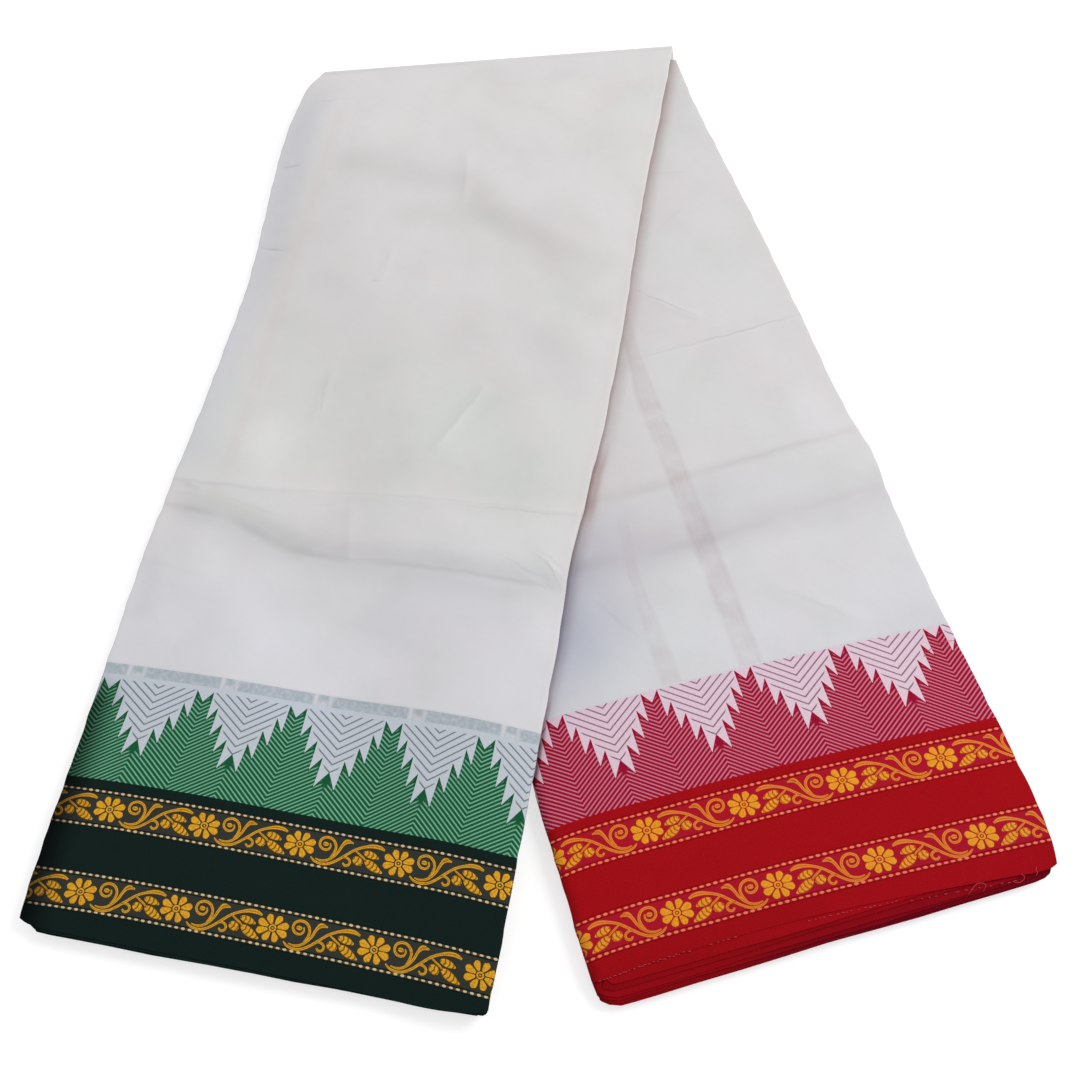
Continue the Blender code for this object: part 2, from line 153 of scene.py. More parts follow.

# Soft tones: painted shade in troughs, creases and hollows, on the upper arm's rolled left edge and beside
# the upper arm; painted light (factors over 1) where the cloth catches more light; darkening at the arms'
# ends; and tinges where plies or folds beneath show through or the cloth has taken on a tinge: half width,
# factor on the
# colour, then points: reach, offset.
PAINTED_SHADE_AND_TONES = {
    UPPER: (
        (26, (0.946, 0.965, 1.01), (60, -121), (330, -121)),
        (7.5, (1, 0.963, 0.964), (60, -96), (340, -93)),
        (40, (1.038, 1.038, 1.036), (26, -95), (34, 50)),
        (30, (1.045, 1.045, 1.042), (74, -100), (64, -40)),
        (18, (0.94, 0.943, 0.936), (146, -27), (140, 15), (152, 59), (170, 101)),
        (23, (0.93, 0.93, 0.924), (105, -75), (115, -2), (150, 50), (205, 108)),
        (20, (0.974, 0.974, 0.97), (30, 15), (75, 95)),
        (50, (0.975, 0.982, 0.974), (230, -60), (320, -40)),
        (50, (0.95, 0.962, 0.952), (235, 30), (330, 80)),
        (36, (0.965, 0.965, 0.962), (150, 15), (165, 45), (235, 86)),
        (60, (0.976, 1.002, 0.982), (310, -100), (310, 100)),
        (36, (1.04, 1.038, 1.044), (275, -60), (335, -66)),
        (40, (0.965, 0.967, 0.965), (245, -10), (320, 10)),
        (26, (0.97, 0.978, 0.97), (338, -120), (338, 110)),
        (19, (0.893, 0.905, 0.91), (375, -105), (392, -45), (396, 0), (400, 125)),
        (11, (0.93, 0.945, 0.92), (366, -95), (378, -60), (392, -35)),
        (45, (0.95, 0.952, 0.962), (415, 40), (415, 90)),
        (20, (1.055, 1.05, 1.05), (409, 104), (430, 114)),
        (34, (1.085, 1.088, 1.08), (325, -72), (346, -34)),
        (26, (0.942, 0.942, 0.942), (236, 80), (262, 96)),
        (40, (1.012, 1.01, 1.012), (470, -20), (455, 30)),
        (20, (1.05, 1.05, 1.05), (390, -90), (408, -80)),
        (35, (1.04, 1.036, 1.045), (456, -32), (482, -8)),
        (16, (1.055, 1.05, 1.05), (193, 104), (205, 116)),
        (14, (1.06, 1.055, 1.055), (392, 112), (402, 116)),
        (15, (0.955, 0.955, 0.952), (130, 60), (140, 85)),
        (35, (1.045, 1.04, 1.05), (425, -62), (458, -40)),
        (60, (1.01, 1.005, 1.02), (430, -120), (440, -50)),
        (12, (0.94, 0.945, 0.95), (415, -116), (440, -112)),
        (125, (0.99, 1.006, 1.05), (460, -130), (460, 130)),
        (7, (0.992, 0.968, 0.966), (0, 120), (100, 119), (206, 120.5), (300, 119.5), (355, 116.5),
         (462, 117)),
        (40, (0.94, 0.94, 0.94), (622, -120), (622, 120)),
        (25, (1.026, 1.024, 1.026), (306, -50), (324, -12)),
        (15, (1.022, 1.02, 1.022), (220, -76), (226, -60)),
        (20, (1.028, 1.026, 1.024), (434, -18), (456, 18)),
        (15, (0.976, 0.976, 0.976), (180, 4), (180, 20)),
        (20, (0.976, 0.978, 0.976), (378, 55), (403, 60)),
    ),
    LOWER: (
        (900, (0.95, 0.949, 0.96), (200, 0), (480, 0)),
        (110, (0.984, 1.004, 1.034), (470, -100), (470, 130)),
        (32, (1.022, 1.02, 1.02), (450, -30), (455, 24)),
        (20, (0.965, 0.965, 0.97), (474, 90), (476, 110)),
        (48, (0.908, 0.91, 0.945), (385, -46), (430, -56)),
        (30, (0.96, 0.962, 0.975), (376, -36), (390, -12)),
        (20, (0.92, 0.914, 0.928), (397, -85), (396, -30), (396, 115)),
        (24, (1.04, 1.04, 1.048), (330, 97), (352, 102)),
        (62, (0.76, 0.785, 0.885), (402, -94), (428, -92)),
        (6, (0.965, 0.955, 0.955), (356, -60), (354, 115)),
        (18, (0.935, 0.94, 0.945), (372, 23), (398, 14)),
        (16, (1, 0.98, 0.975), (160, 115), (330, 117)),
        (24, (0.96, 0.965, 0.975), (372, 0), (372, 110)),
        (50, (0.85, 0.84, 0.94), (624, -130), (624, 130)),
        (20, (1.028, 1.026, 1.028), (438, -28), (460, -35)),
        (18, (1.032, 1.03, 1.026), (374, 112), (400, 102)),
        (20, (1.02, 1.018, 1.02), (332, 68), (366, 85)),
        (18, (1.02, 1.018, 1.018), (438, 57), (461, 49)),
        (20, (1.018, 1.016, 1.018), (210, -20), (219, 10)),
        (20, (1.08, 1, 1.2), (612, 10), (612, 100)),
    ),
}

# Where the uppermost dash row of each border crosses the arm: columns: offset, reach.
DASH_BEND = {
    UPPER: (
        (-118, 545.6), (-110, 545.4), (-60, 545), (-20, 545.9), (10, 546.8), (50, 548.3), (80, 549.9),
        (118, 553.5),
    ),
    LOWER: (
        (-118, 538.8), (-110, 537.8), (-90, 537), (-60, 537.3), (-20, 538), (10, 539), (50, 541), (80, 542.8),
        (118, 545.4),
    ),
}

# How far up the cloth from its lowest dash row lie: each dash row, the temples' tips, the middles of the two
# vine bands, and the seam between field and border.
DASH_ROWS = (0.0, 17.4, 41.7, 59.4)
TEMPLE_TIPS = 121.1
VINE_UP = (50.7, 8.6)
SEAM = {UPPER: 130.5, LOWER: 122.2}
DASH_BELOW = [TEMPLE_TIPS - up for up in reversed(DASH_ROWS)]  # below the temples' tips

# Offsets of the temples' middles, how the weave is drawn sideways with the square of the way down from their
# tips, and how far down it goes on.
PEAKS = {UPPER: (-115.3, -62.8, -11, 41.7, 91.5), LOWER: (-97.3, -46.3, 4.4, 55.6, 107.6)}
DRAW = {UPPER: -0.0015, LOWER: 0.0004}
DRAWN_TO = 140.0

# How wide and how dark the shade at each border's left edge is, and where it starts along the arm, in metres.
EDGE_SHADE = {UPPER: (0.019, 0.21), LOWER: (0.006, 0.64)}
EDGE_SHADE_FROM, EDGE_SHADE_RUN = 0.480, 0.020

# Offsets of the flowers in the two vine bands.
FLOWERS = {
    UPPER: ((-143.4, -92.3, -41.8, 8.8, 60, 112), (-144, -92.8, -43, 6.5, 57.5, 110.5)),
    LOWER: ((-119.5, -69.5, -19.5, 31.5, 82.5, 133.6), (-118.5, -68, -17.5, 33.5, 85, 136.2)),
}

# The ends of the top plies past the lowest dash row: columns: offset, reach.
SELVEDGE = {
    UPPER: (
        (-121.5, 609.8), (-119, 612.5), (-115, 614.5), (-109, 615.6), (-90, 616.4), (-60, 617), (0, 618),
        (50, 619.2), (110, 620.4), (117.5, 619.2),
    ),
    LOWER: (
        (-118, 607.8), (-112, 607.8), (-100, 607.1), (-60, 606.2), (-20, 606.8), (10, 608.4), (50, 611.8),
        (90, 615.8), (105, 617.4), (111.5, 617), (115.5, 615), (118, 611.8),
    ),
}


# ---- small helpers --------------------------------------------------------------------------------------
def smooth(x):
    """Ease from 0 to 1 as x goes from 0 to 1, and hold outside."""
    x = np.clip(x, 0.0, 1.0)
    return x * x * (3.0 - 2.0 * x)


def bump(x):
    """A soft hump: 1 at x = 0, down to 0 at x = -1 and 1."""
    return 1.0 - smooth(np.abs(x))


def blend(share, first, second):
    """The value that lies a share of the way from first to second."""
    return first + (second - first) * share


def stacked(*parts):
    """Points from their separate coordinates, which may be grids, rows, columns or single numbers."""
    return np.stack(np.broadcast_arrays(*parts), axis=-1)


def sway(x, *waves):
    """A slow uneven wave: waves are (length, phase, height)."""
    return sum(height * np.sin(2 * math.pi * x / length + phase) for length, phase, height in waves)


def smooth_rows(at, rows, new):
    """Rows of values at new places, on a smooth curve through the rows given at some places."""
    slopes = np.gradient(rows, at, axis=0)
    i = np.clip(np.searchsorted(at, new, side="right") - 1, 0, len(at) - 2)
    span = (at[i + 1] - at[i])[:, None]
    s = np.clip((new - at[i])[:, None] / span, 0.0, 1.0)
    return ((2 * s**3 - 3 * s**2 + 1) * rows[i] + (s**3 - 2 * s**2 + s) * span * slopes[i]
            + (3 * s**2 - 2 * s**3) * rows[i + 1] + (s**3 - s**2) * span * slopes[i + 1])


class Curve:
    """A smooth curve through two columns of a table in millimetres, sampled each millimetre, in metres."""

    def __init__(self, table, column=1):
        rows = np.array(table) / 1000
        self.x = np.arange(rows[0, 0], rows[-1, 0] + 0.0005, 0.001)
        self.y = smooth_rows(rows[:, 0], rows[:, column:column + 1], self.x)[:, 0]

    def __call__(self, x):
        return np.interp(x, self.x, self.y)


# ---- where the arms lie ---------------------------------------------------------------------------------
SINE, COSINE, SLANT = math.sin(ARM_ANGLE), math.cos(ARM_ANGLE), math.tan(ARM_ANGLE)
ROOT_X = {side: FOLD_CENTRE[0] + side * DRIFT / 2 for side in (UPPER, LOWER)}
EDGE_CURVES = {(side, hand): Curve(EDGES[side], 1 if hand < 0 else 2)
               for side in (UPPER, LOWER) for hand in (-1, 1)}
for number, curve in enumerate(EDGE_CURVES.values()):
    curve.y += sway(curve.x, *((length, phase * number, height) for length, phase, height in EDGE_WAVES))
BEND_CURVES = {side: Curve(DASH_BEND[side]) for side in (UPPER, LOWER)}
SELVEDGE_CURVES = {side: Curve(SELVEDGE[side]) for side in (UPPER, LOWER)}


def plan(side, reach, offset):
    """The plan point (x, y) of an arm at a reach and an offset."""
    return (ROOT_X[side] + side * SINE * reach + COSINE * offset,
            FOLD_CENTRE[1] - COSINE * reach + side * SINE * offset)


def offset_in(side, x, y):
    """The offset in an arm of a plan point."""
    return (x - ROOT_X[side]) * COSINE + (y - FOLD_CENTRE[1]) * side * SINE


def reach_in(side, x, y):
    """The reach in an arm of a plan point."""
    return (x - ROOT_X[side]) * side * SINE - (y - FOLD_CENTRE[1]) * COSINE


def edge_offset(side, reach, hand):
    """The offset of an arm's left (hand -1) or right (hand 1) edge at a reach."""
    return hand * (HALF + EDGE_CURVES[side, hand](reach))


def nearer_edge(side, reach, offset):
    """The offset of the edge on the point's own side of the arm."""
    return np.where(offset < 0, edge_offset(side, reach, -1), edge_offset(side, reach, 1))


def clear_of_upper(x, y):
    """How far a plan point lies to the right of the upper arm."""
    return offset_in(UPPER, x, y) - edge_offset(UPPER, reach_in(UPPER, x, y), 1)


def settled(y):
    """How freely the cloth sinks: 0 on the fold, where the turn of the plies holds it up, then 1."""
    return smooth((FOLD_CENTRE[1] - y) / SETTLE_RUN)


def underside(side, x, y):
    """The arm's underside: the floor, or for the upper arm flat on the lower arm, then down to the floor."""
    if side == LOWER:
        return np.zeros_like(x)
    beyond = -(offset_in(LOWER, x, y) + HALF) - SLOPE_START
    return (STACK + LAY_GAP) * (1.0 - smooth(beyond / SLOPE_RUN) * settled(y))


def near_path(path, half_width, reach, offset):
    """How near a point lies to a path in millimetres: 1 on it, and down to 0 at its half width away."""
    reach, offset = reach * 1000, offset * 1000
    nearest = np.inf
    for (reach_a, offset_a), (reach_b, offset_b) in zip(path, path[1:]):
        run = (reach_b - reach_a, offset_b - offset_a)
        share = ((reach - reach_a) * run[0] + (offset - offset_a) * run[1]) / (run[0] ** 2 + run[1] ** 2)
        share = np.clip(share, 0.0, 1.0)
        away = np.hypot(reach - reach_a - share * run[0], offset - offset_a - share * run[1])
        nearest = np.minimum(nearest, away)
    return bump(nearest / half_width)


def relief(side, reach, offset):
    """How far the creases and the rolled edge lift or lower an arm's top."""
    lift = sum(height / 1000 * near_path(path, half_width, reach, offset)
               for half_width, height, *path in CREASES[side])
    x, y = plan(side, reach, offset)
    waves = sway(reach + ASLANT_ALONG * offset, *WAVES_ALONG)
    waves = waves + sway(offset + ASLANT_ACROSS * reach, *WAVES_ACROSS)
    lift = lift + smooth(reach / WAVES_GROW) * waves
    if side == UPPER:
        fading = (1.0 - smooth((reach - ROLL_FROM) / (ROLL_TO - ROLL_FROM))) * settled(y)
        edge = edge_offset(side, reach, -1)
        return lift - ROLL_DROP * smooth((edge + ROLL_WIDTH - offset) / ROLL_WIDTH) * fading
    return lift * smooth((clear_of_upper(x, y) - SLOPE_START) / LIFT_RUN)


def topside(side, reach, offset):
    """The height of the outer face of an arm's top ply."""
    return underside(side, *plan(side, reach, offset)) + STACK + relief(side, reach, offset)


# ---- lines across an arm: the reach at an offset, for a ply at a level ----------------------------------
def fold_line(side, offset, level=0.0):
    """The fold's axis."""
    return side * SLANT * offset


def woven_line(side, up, offset):
    """A woven line of the border, given how far up the cloth it lies from the lowest dashes."""
    return BEND_CURVES[side](offset) + (DASH_ROWS[-1] - up) / 1000


def seam_line(side, offset, level=0.0):
    """The line where the white field ends and the border starts."""
    return woven_line(side, SEAM[side], offset)


def selvedge_line(side, offset, level=0.0):
    """The end of the top ply."""
    return SELVEDGE_CURVES[side](offset)


# ---- what the materials read at each point --------------------------------------------------------------
def pattern_at(side, reach, offset):
    """A point's place in the border's pattern: temples counted across, and millimetres below their tips."""
    below = TEMPLE_TIPS - (woven_line(side, 0.0, offset) - reach) * 1000
    straight = offset * 1000 - DRAW[side] * np.clip(below, 0, DRAWN_TO) ** 2
    peaks = np.array(PEAKS[side])
    step = (peaks[-1] - peaks[0]) / (len(peaks) - 1)
    outside = np.minimum(straight - peaks[0], 0.0) + np.maximum(straight - peaks[-1], 0.0)
    return stacked(np.interp(straight, peaks, np.arange(len(peaks))) + outside / step, below)


def tones_and_shade_at(side, reach, offset):
    """The soft tones, painted shade and painted light of the cloth at a point, as a factor on its colour."""
    colour = np.ones(reach.shape + (3,))
    for half_width, factor, *path in PAINTED_SHADE_AND_TONES[side]:
        near = near_path(path, half_width, reach, offset)[..., None]
        colour *= 1.0 - near * (1.0 - np.array(factor))
    # Painted shade darkens the border's left edge.
    wide, dark = EDGE_SHADE[side]
    from_left = offset - edge_offset(side, reach, -1)
    left_edge_shade = (1.0 - smooth(from_left / wide)) * smooth((reach - EDGE_SHADE_FROM) / EDGE_SHADE_RUN)
    return colour * (1.0 - left_edge_shade * (1.0 - dark))[..., None]


def beside_upper(side, reach, offset):
    """How far a point of the lower arm lies clear of the upper arm, in centimetres, and its reach."""
    return stacked(np.clip(clear_of_upper(*plan(side, reach, offset)) * 100, -1.0, 30.0), reach)


# ---- cloth laid on the strip's form ---------------------------------------------------------------------
def round_edge(edge, hand, past, radius, lift):
    """Where cloth that runs past its edge lies: offset and depth, round the edge and then back under."""
    turn = np.clip(past / radius, 0.0, math.pi)
    under = np.maximum(past - math.pi * radius, 0.0)
    start = edge - hand * radius
    return start + hand * ((radius + lift) * np.sin(turn) - under), radius - (radius + lift) * np.cos(turn)


def cloth_point(side, reach, offset, lift=0.0):
    """A point of an arm's top ply. Offsets past its edge go round the edge and on under it."""
    radius = sizes().edge_radius
    hand = np.where(offset < 0, -1, 1)
    edge = nearer_edge(side, reach, offset)
    past = hand * (offset - edge) + radius
    turned, depth = round_edge(edge, hand, past, radius, lift)
    turned = np.where(past > 0, turned, offset)
    level_at = np.where((past > 0) & (past < math.pi * radius), edge - hand * radius, turned)
    height = topside(side, reach, level_at) - np.where(past > 0, depth, -lift)
    return stacked(*plan(side, reach, turned), height)


def nose_point(behind, offset, depth):
    """A point behind the fold's axis: round the fold, then on under the lower arm."""
    x, _ = plan(UPPER, (-behind - offset * SINE) / COSINE, offset)
    turned = np.minimum(behind / FOLD_RADIUS, math.pi)
    radius = FOLD_RADIUS - depth
    y = FOLD_CENTRE[1] + radius * np.sin(turned) - np.maximum(behind - math.pi * FOLD_RADIUS, 0.0)
    return stacked(x, y, FOLD_RADIUS + radius * np.cos(turned))


def nose_edge(behind, hand):
    """The offset of the strip's edge part of the way round the fold."""
    over = edge_offset(UPPER, fold_line(UPPER, hand * HALF), hand)
    under = edge_offset(LOWER, fold_line(LOWER, hand * HALF), hand)
    return blend(np.minimum(behind / (math.pi * FOLD_RADIUS), 1.0), over, under)


def sizes():
    """The cloth's sizes, as set in the scene."""
    return bpy.context.scene.dhoti_sizes


def paints():
    """The cloth's colours, as set in the scene."""
    return bpy.context.scene.dhoti_colours


def sheet_mesh(name, points, maps, colour=None):
    """A mesh of quads through rows of points. maps are its UV maps, and colour its soft tones with their
    painted shade and light, row by row.
    """
    rows, columns = points.shape[:2]
    mesh = bmesh.new()
    bmesh.ops.create_grid(mesh, x_segments=columns - 1, y_segments=rows - 1, size=0.5)
    data = bpy.data.meshes.new(name)
    mesh.to_mesh(data)
    mesh.free()
    spots = np.empty(len(data.vertices) * 3)
    data.vertices.foreach_get("co", spots)
    spots = spots.reshape(-1, 3) + 0.5
    i = np.rint(spots[:, 0] * (columns - 1)).astype(int)
    j = rows - 1 - np.rint(spots[:, 1] * (rows - 1)).astype(int)
    data.vertices.foreach_set("co", points[j, i].ravel())
    corners = np.empty(len(data.loops), dtype=int)
    data.loops.foreach_get("vertex_index", corners)
    for key, values in maps.items():
        layer = data.uv_layers.new(name=key)
        layer.data.foreach_set("uv", values[j, i][corners].ravel())
    if colour is not None:
        shaded_tones = data.color_attributes.new("shaded_tones", "FLOAT_COLOR", "POINT")
        shaded_tones.data.foreach_set("color", np.append(colour[j, i], np.ones((len(i), 1)), axis=1).ravel())
    data.shade_smooth()
    data.update()
    return data


def bake_spots(shares, margin):
    """Places in the square that a piece's colours are baked to, with a margin round them."""
    return margin + (1 - 2 * margin) * shares


def show(name, data, material, nodes=()):
    """Makes a mesh a named piece that rides on the cloth's one body."""
    data.materials.append(material)
    piece = bpy.data.objects.new(name, data)
    bpy.context.scene.collection.objects.link(piece)
    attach(piece, "root")
    if nodes:
        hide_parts(*nodes)
    return piece


def cut_cloth(piece, thickness, inward):
    """Gives a sheet its thickness, with a crisp rim."""
    solidify = piece.modifiers.new("thickness", "SOLIDIFY")
    solidify.thickness = thickness
    solidify.offset = -1.0 if inward else 0.0
    solidify.use_rim = True
    flat = piece.data
    piece.data = bpy.data.meshes.new_from_object(piece.evaluated_get(bpy.context.evaluated_depsgraph_get()))
    piece.modifiers.clear()
    bpy.data.meshes.remove(flat)
    piece.data.name = piece.name
    piece.data.shade_smooth()
    piece.data.set_sharp_from_angle(angle=math.radians(60))


# ---- the top plies --------------------------------------------------------------------------------------
END_DIP, END_DIP_RUN = 0.00022, 0.012  # how a border's end dips, and over what length
TURN_CELLS, TUCK_CELLS = 6, 3  # cells round a top ply's edge, and across its tuck
NOSE_CELLS, UNDER_CELLS = 18, 5  # cells round the fold, and on under it
PASSES = 3  # how often a grid is laid again, until its reaches and offsets agree


def across_top():
    """Columns across a top ply: hand, length past where its edge starts to turn, share of its flat width."""
    radius, tuck, cells = sizes().edge_radius, sizes().tuck, sizes().columns
    turn = [math.pi * radius * (k + 1) / TURN_CELLS for k in range(TURN_CELLS)]
    turn += [math.pi * radius + tuck * (k + 1) / TUCK_CELLS for k in range(TUCK_CELLS)]
    columns = [(-1, past, 0.0) for past in reversed(turn)]
    columns += [(0, 0.0, k / cells) for k in range(cells + 1)]
    columns += [(1, past, 1.0) for past in turn]
    return [np.array(column) for column in zip(*columns)]


def top_rows(side, start, end, rows):
    """Reaches and offsets of a top ply between two lines across the arm, past its edges too."""
    radius = sizes().edge_radius
    hand, past, share = across_top()
    down = (np.arange(rows + 1) / rows)[:, None]
    offset = blend(share, -HALF, HALF)[None, :]
    for _ in range(PASSES):
        reach = blend(down, start(side, offset), end(side, offset))
        left = edge_offset(side, reach, -1) + radius
        right = edge_offset(side, reach, 1) - radius
        offset = blend(share, left, right) + hand * past
    return reach, offset


def top_nose():
    """Points, reaches and offsets of the top ply round the fold and on under it."""
    radius, full = sizes().edge_radius, math.pi * FOLD_RADIUS
    hand, past, share = across_top()
    behind = [full + TURN_UNDER * k / UNDER_CELLS for k in range(UNDER_CELLS, 0, -1)]
    behind += [full * k / NOSE_CELLS for k in range(NOSE_CELLS, 0, -1)]
    behind = np.array(behind)[:, None]
    left, right = nose_edge(behind, -1), nose_edge(behind, 1)
    turned, depth = round_edge(np.where(hand < 0, left, right), hand, past, radius, 0.0)
    offset = np.where(hand == 0, blend(share, left + radius, right - radius), turned)
    points = nose_point(behind, offset, np.where(hand == 0, 0.0, depth))
    return points, np.broadcast_to(-behind, offset.shape), offset


def top_ply(name, side, start, end, rows, material, node):
    """One stretch of an arm's top ply, from line start to line end, with its edges turned under."""
    reach, offset = top_rows(side, start, end, rows)
    points = cloth_point(side, reach, offset)
    bordered = node.endswith("border")
    if bordered:
        points[..., 2] -= END_DIP * smooth((reach - end(side, offset)) / END_DIP_RUN + 1.0)
    elif side == UPPER:
        points, reach, offset = (np.concatenate(parts) for parts in zip(top_nose(), (points, reach, offset)))
    maps = {"cloth": stacked(offset, -reach), "pattern": pattern_at(side, reach, offset),
            "beside": beside_upper(side, reach, offset)}
    if bordered:
        down, across = (np.linspace(0.0, 1.0, count) for count in reach.shape)
        maps["OFBake"] = bake_spots(stacked(across[None, :], 1 - down[:, None]), 0.01)
    data = sheet_mesh(name, points, maps, tones_and_shade_at(side, reach, offset))
    cut_cloth(show(name, data, material, [node]), sizes().cloth_thickness, inward=True)


# ---- the plies beneath ----------------------------------------------------------------------------------
PLIES_BELOW = 16
PLY_PITCH = STACK / (PLIES_BELOW + 1)
BIGHT = PLY_PITCH / 2
LOWEST, LOWEST_TO = 0.0006, 0.0165  # how low the plies come under the fold, and up to what reach
# How far the trough presses them down, and half its width, in millimetres.
SQUEEZE, SQUEEZE_WIDTH = 0.9, 34.0
QUARTER_ROWS = 8  # rows of points round half of the fold
# How far in from the arm's edge each turn of the zigzag stands: the free end above ply 1, then the turns
# between plies 1 and 2, 2 and 3 and so on, then the free end below ply 16.
INSETS = {
    UPPER: (7.5, 7.0, 7.2, 1.1, 0.5, 1.9, 0.6, 0.9, 2.3, 0.7, 0.5, 1.4, 0.4, 1.7, 0.6, 0.9, 2.0),
    LOWER: (7.5, 7.0, 7.2, 0.5, 1.3, 0.6, 2.1, 0.9, 0.5, 1.6, 0.6, 2.4, 0.8, 0.5, 1.1, 0.6, 2.2),
}
LEAST_INSET = 0.25
# The same at the fold, and the reaches, in metres, over which it gives way to the arm's own.
NOSE_INSETS = (7.5, 7.2, 7.0) + (1.4,) * 14
NOSE_TO, NOSE_RUN = 0.004, 0.030
# How far in they stand past the top ply's end, left and right, and how much more the uppermost ones do. The
# top ply's end is taken at its corners.
END_INSETS = {UPPER: (1.3, 0.7), LOWER: (1.0, 3.0)}
CORNER = 0.116
TOP_ROUNDING = (2.6, 1.6, 0.9, 0.4) + (0.0,) * 13
# How far each ply's end stands past or short of the arm's end, from the top down.
PLY_ENDS = {
    UPPER: (-1.2, -0.9, -1.6, -1.3, -1.7, -2.6, -2.1, -2.4, -2.9, -2.8, -3.6, -3.4, -3.9, -4.6, -4.4, -5.2),
    LOWER: (-9.4, -7.2, -4.1, -2.6, -1.0, -0.5, -1.3, -1.9, -1.5, -2.5, -2.2, -3.1, -2.8, -3.9, -3.7, -4.6),
}
# The same plies' line across the arm's end, in metres, and how its corners are rounded off.
# columns: reach, slant, depth and width of the left corner, of the right corner
END_LINES = {
    UPPER: (0.6203, 0.014, 0.0060, 0.012, 0.0010, 0.004),
    LOWER: (0.6212, 0.002, 0.0080, 0.012, 0.0070, 0.015),
}
ACROSS_SHARES = (0.0, 0.012, 0.035, 0.07, 0.12, 0.2, 0.3, 0.4, 0.5, 0.6, 0.7, 0.8, 0.88, 0.93, 0.965, 0.988,
                 1.0)
# The factor of painted shade on the colour of the lower plies' ends, where they turn under.
DEEP_PLY_SHADE = np.array((0.42, 0.48, 1.08))


def zigzag(side):
    """Columns of the zigzag: level in plies, share across, bulge, and the turns at its left and its right."""
    first = 1 if side == UPPER else -1
    columns = []
    for ply in range(1, PLIES_BELOW + 1):
        hand = first if ply % 2 else -first
        left, right = (ply - 1, ply) if hand > 0 else (ply, ply - 1)
        columns += [(ply, share, 0.0, left, right) for share in ACROSS_SHARES[::hand]]
        if ply < PLIES_BELOW:
            for k in (1, 2, 3):
                angle = math.pi * k / 4
                turned = ply + (1 - math.cos(angle)) / 2
                columns.append((turned, float(hand > 0), hand * math.sin(angle) * BIGHT, ply, ply))
    level, share, bulge, left, right = (np.array(column) for column in zip(*columns))
    return level, share, bulge, left.astype(int), right.astype(int)


def inset_at(side, turn, reach, hand):
    """How far in a turn of the zigzag stands, along the arm."""
    table = np.array(INSETS[side])[turn]
    at_nose = turn if side == UPPER else np.clip(PLIES_BELOW - 1 - turn, 0, PLIES_BELOW)
    nose = np.array(NOSE_INSETS)[at_nose]
    wave = 0.25 * np.sin(reach * (23 + 3.1 * turn) + 1.7 * turn) + 0.15 * np.sin(reach * 71 + 2.3 * turn)
    inset = blend(smooth((reach - NOSE_TO) / NOSE_RUN), nose, np.maximum(table + wave, LEAST_INSET))
    rounding = np.array(TOP_ROUNDING)[turn] * (0.0 if side == LOWER and hand < 0 else 1.0)
    last = END_INSETS[side][hand > 0] + rounding + 0.25 * table * (turn > 2) + wave
    end = selvedge_line(side, hand * CORNER)
    return blend(smooth((reach - end + 0.001) / 0.005), inset, last) / 1000


def plies_end(side, offset, level):
    """The reach where a ply beneath ends, a little unevenly and rounded off at the arm's corners."""
    reach, slant, left_deep, left_wide, right_deep, right_wide = END_LINES[side]
    past = np.interp(level, np.arange(1, PLIES_BELOW + 1), PLY_ENDS[side]) / 1000
    ply = np.rint(level)
    wave = 0.00030 * np.sin(offset * (31 + 2.7 * ply) + 1.9 * ply) + 0.00018 * np.sin(offset * 97 + 2.9 * ply)
    left = np.clip(1 - (offset + HALF) / left_wide, 0, 1.3) ** 2 * left_deep
    right = np.clip(1 - (HALF - offset) / right_wide, 0, 1.3) ** 2 * right_deep
    return reach + slant * offset + past + wave - left - right


def ply_shaded_tones(side, level, reach, offset):
    """The plies' soft tones: uneven at their ends, with painted shade where the lower ones turn under."""
    ply = np.rint(level)
    # Painted shade on the deeper plies near the arm's end.
    deep = smooth((level - 0.5) / 6.0) * smooth((reach - 0.60) / 0.01)
    deep = deep * (0.25 + 0.75 * smooth((offset + 0.070) / 0.07) if side == LOWER else 0.5)
    uneven = 0.94 + 0.08 * np.sin(2.3 * ply) + 0.05 * np.sin(offset * 61 + 2.9 * ply)
    uneven = blend(smooth((reach - 0.595) / 0.006), 1.0, uneven)
    return tones_and_shade_at(side, reach, offset) * (1.0 - deep[..., None] * (1.0 - DEEP_PLY_SHADE)) * uneven[..., None]


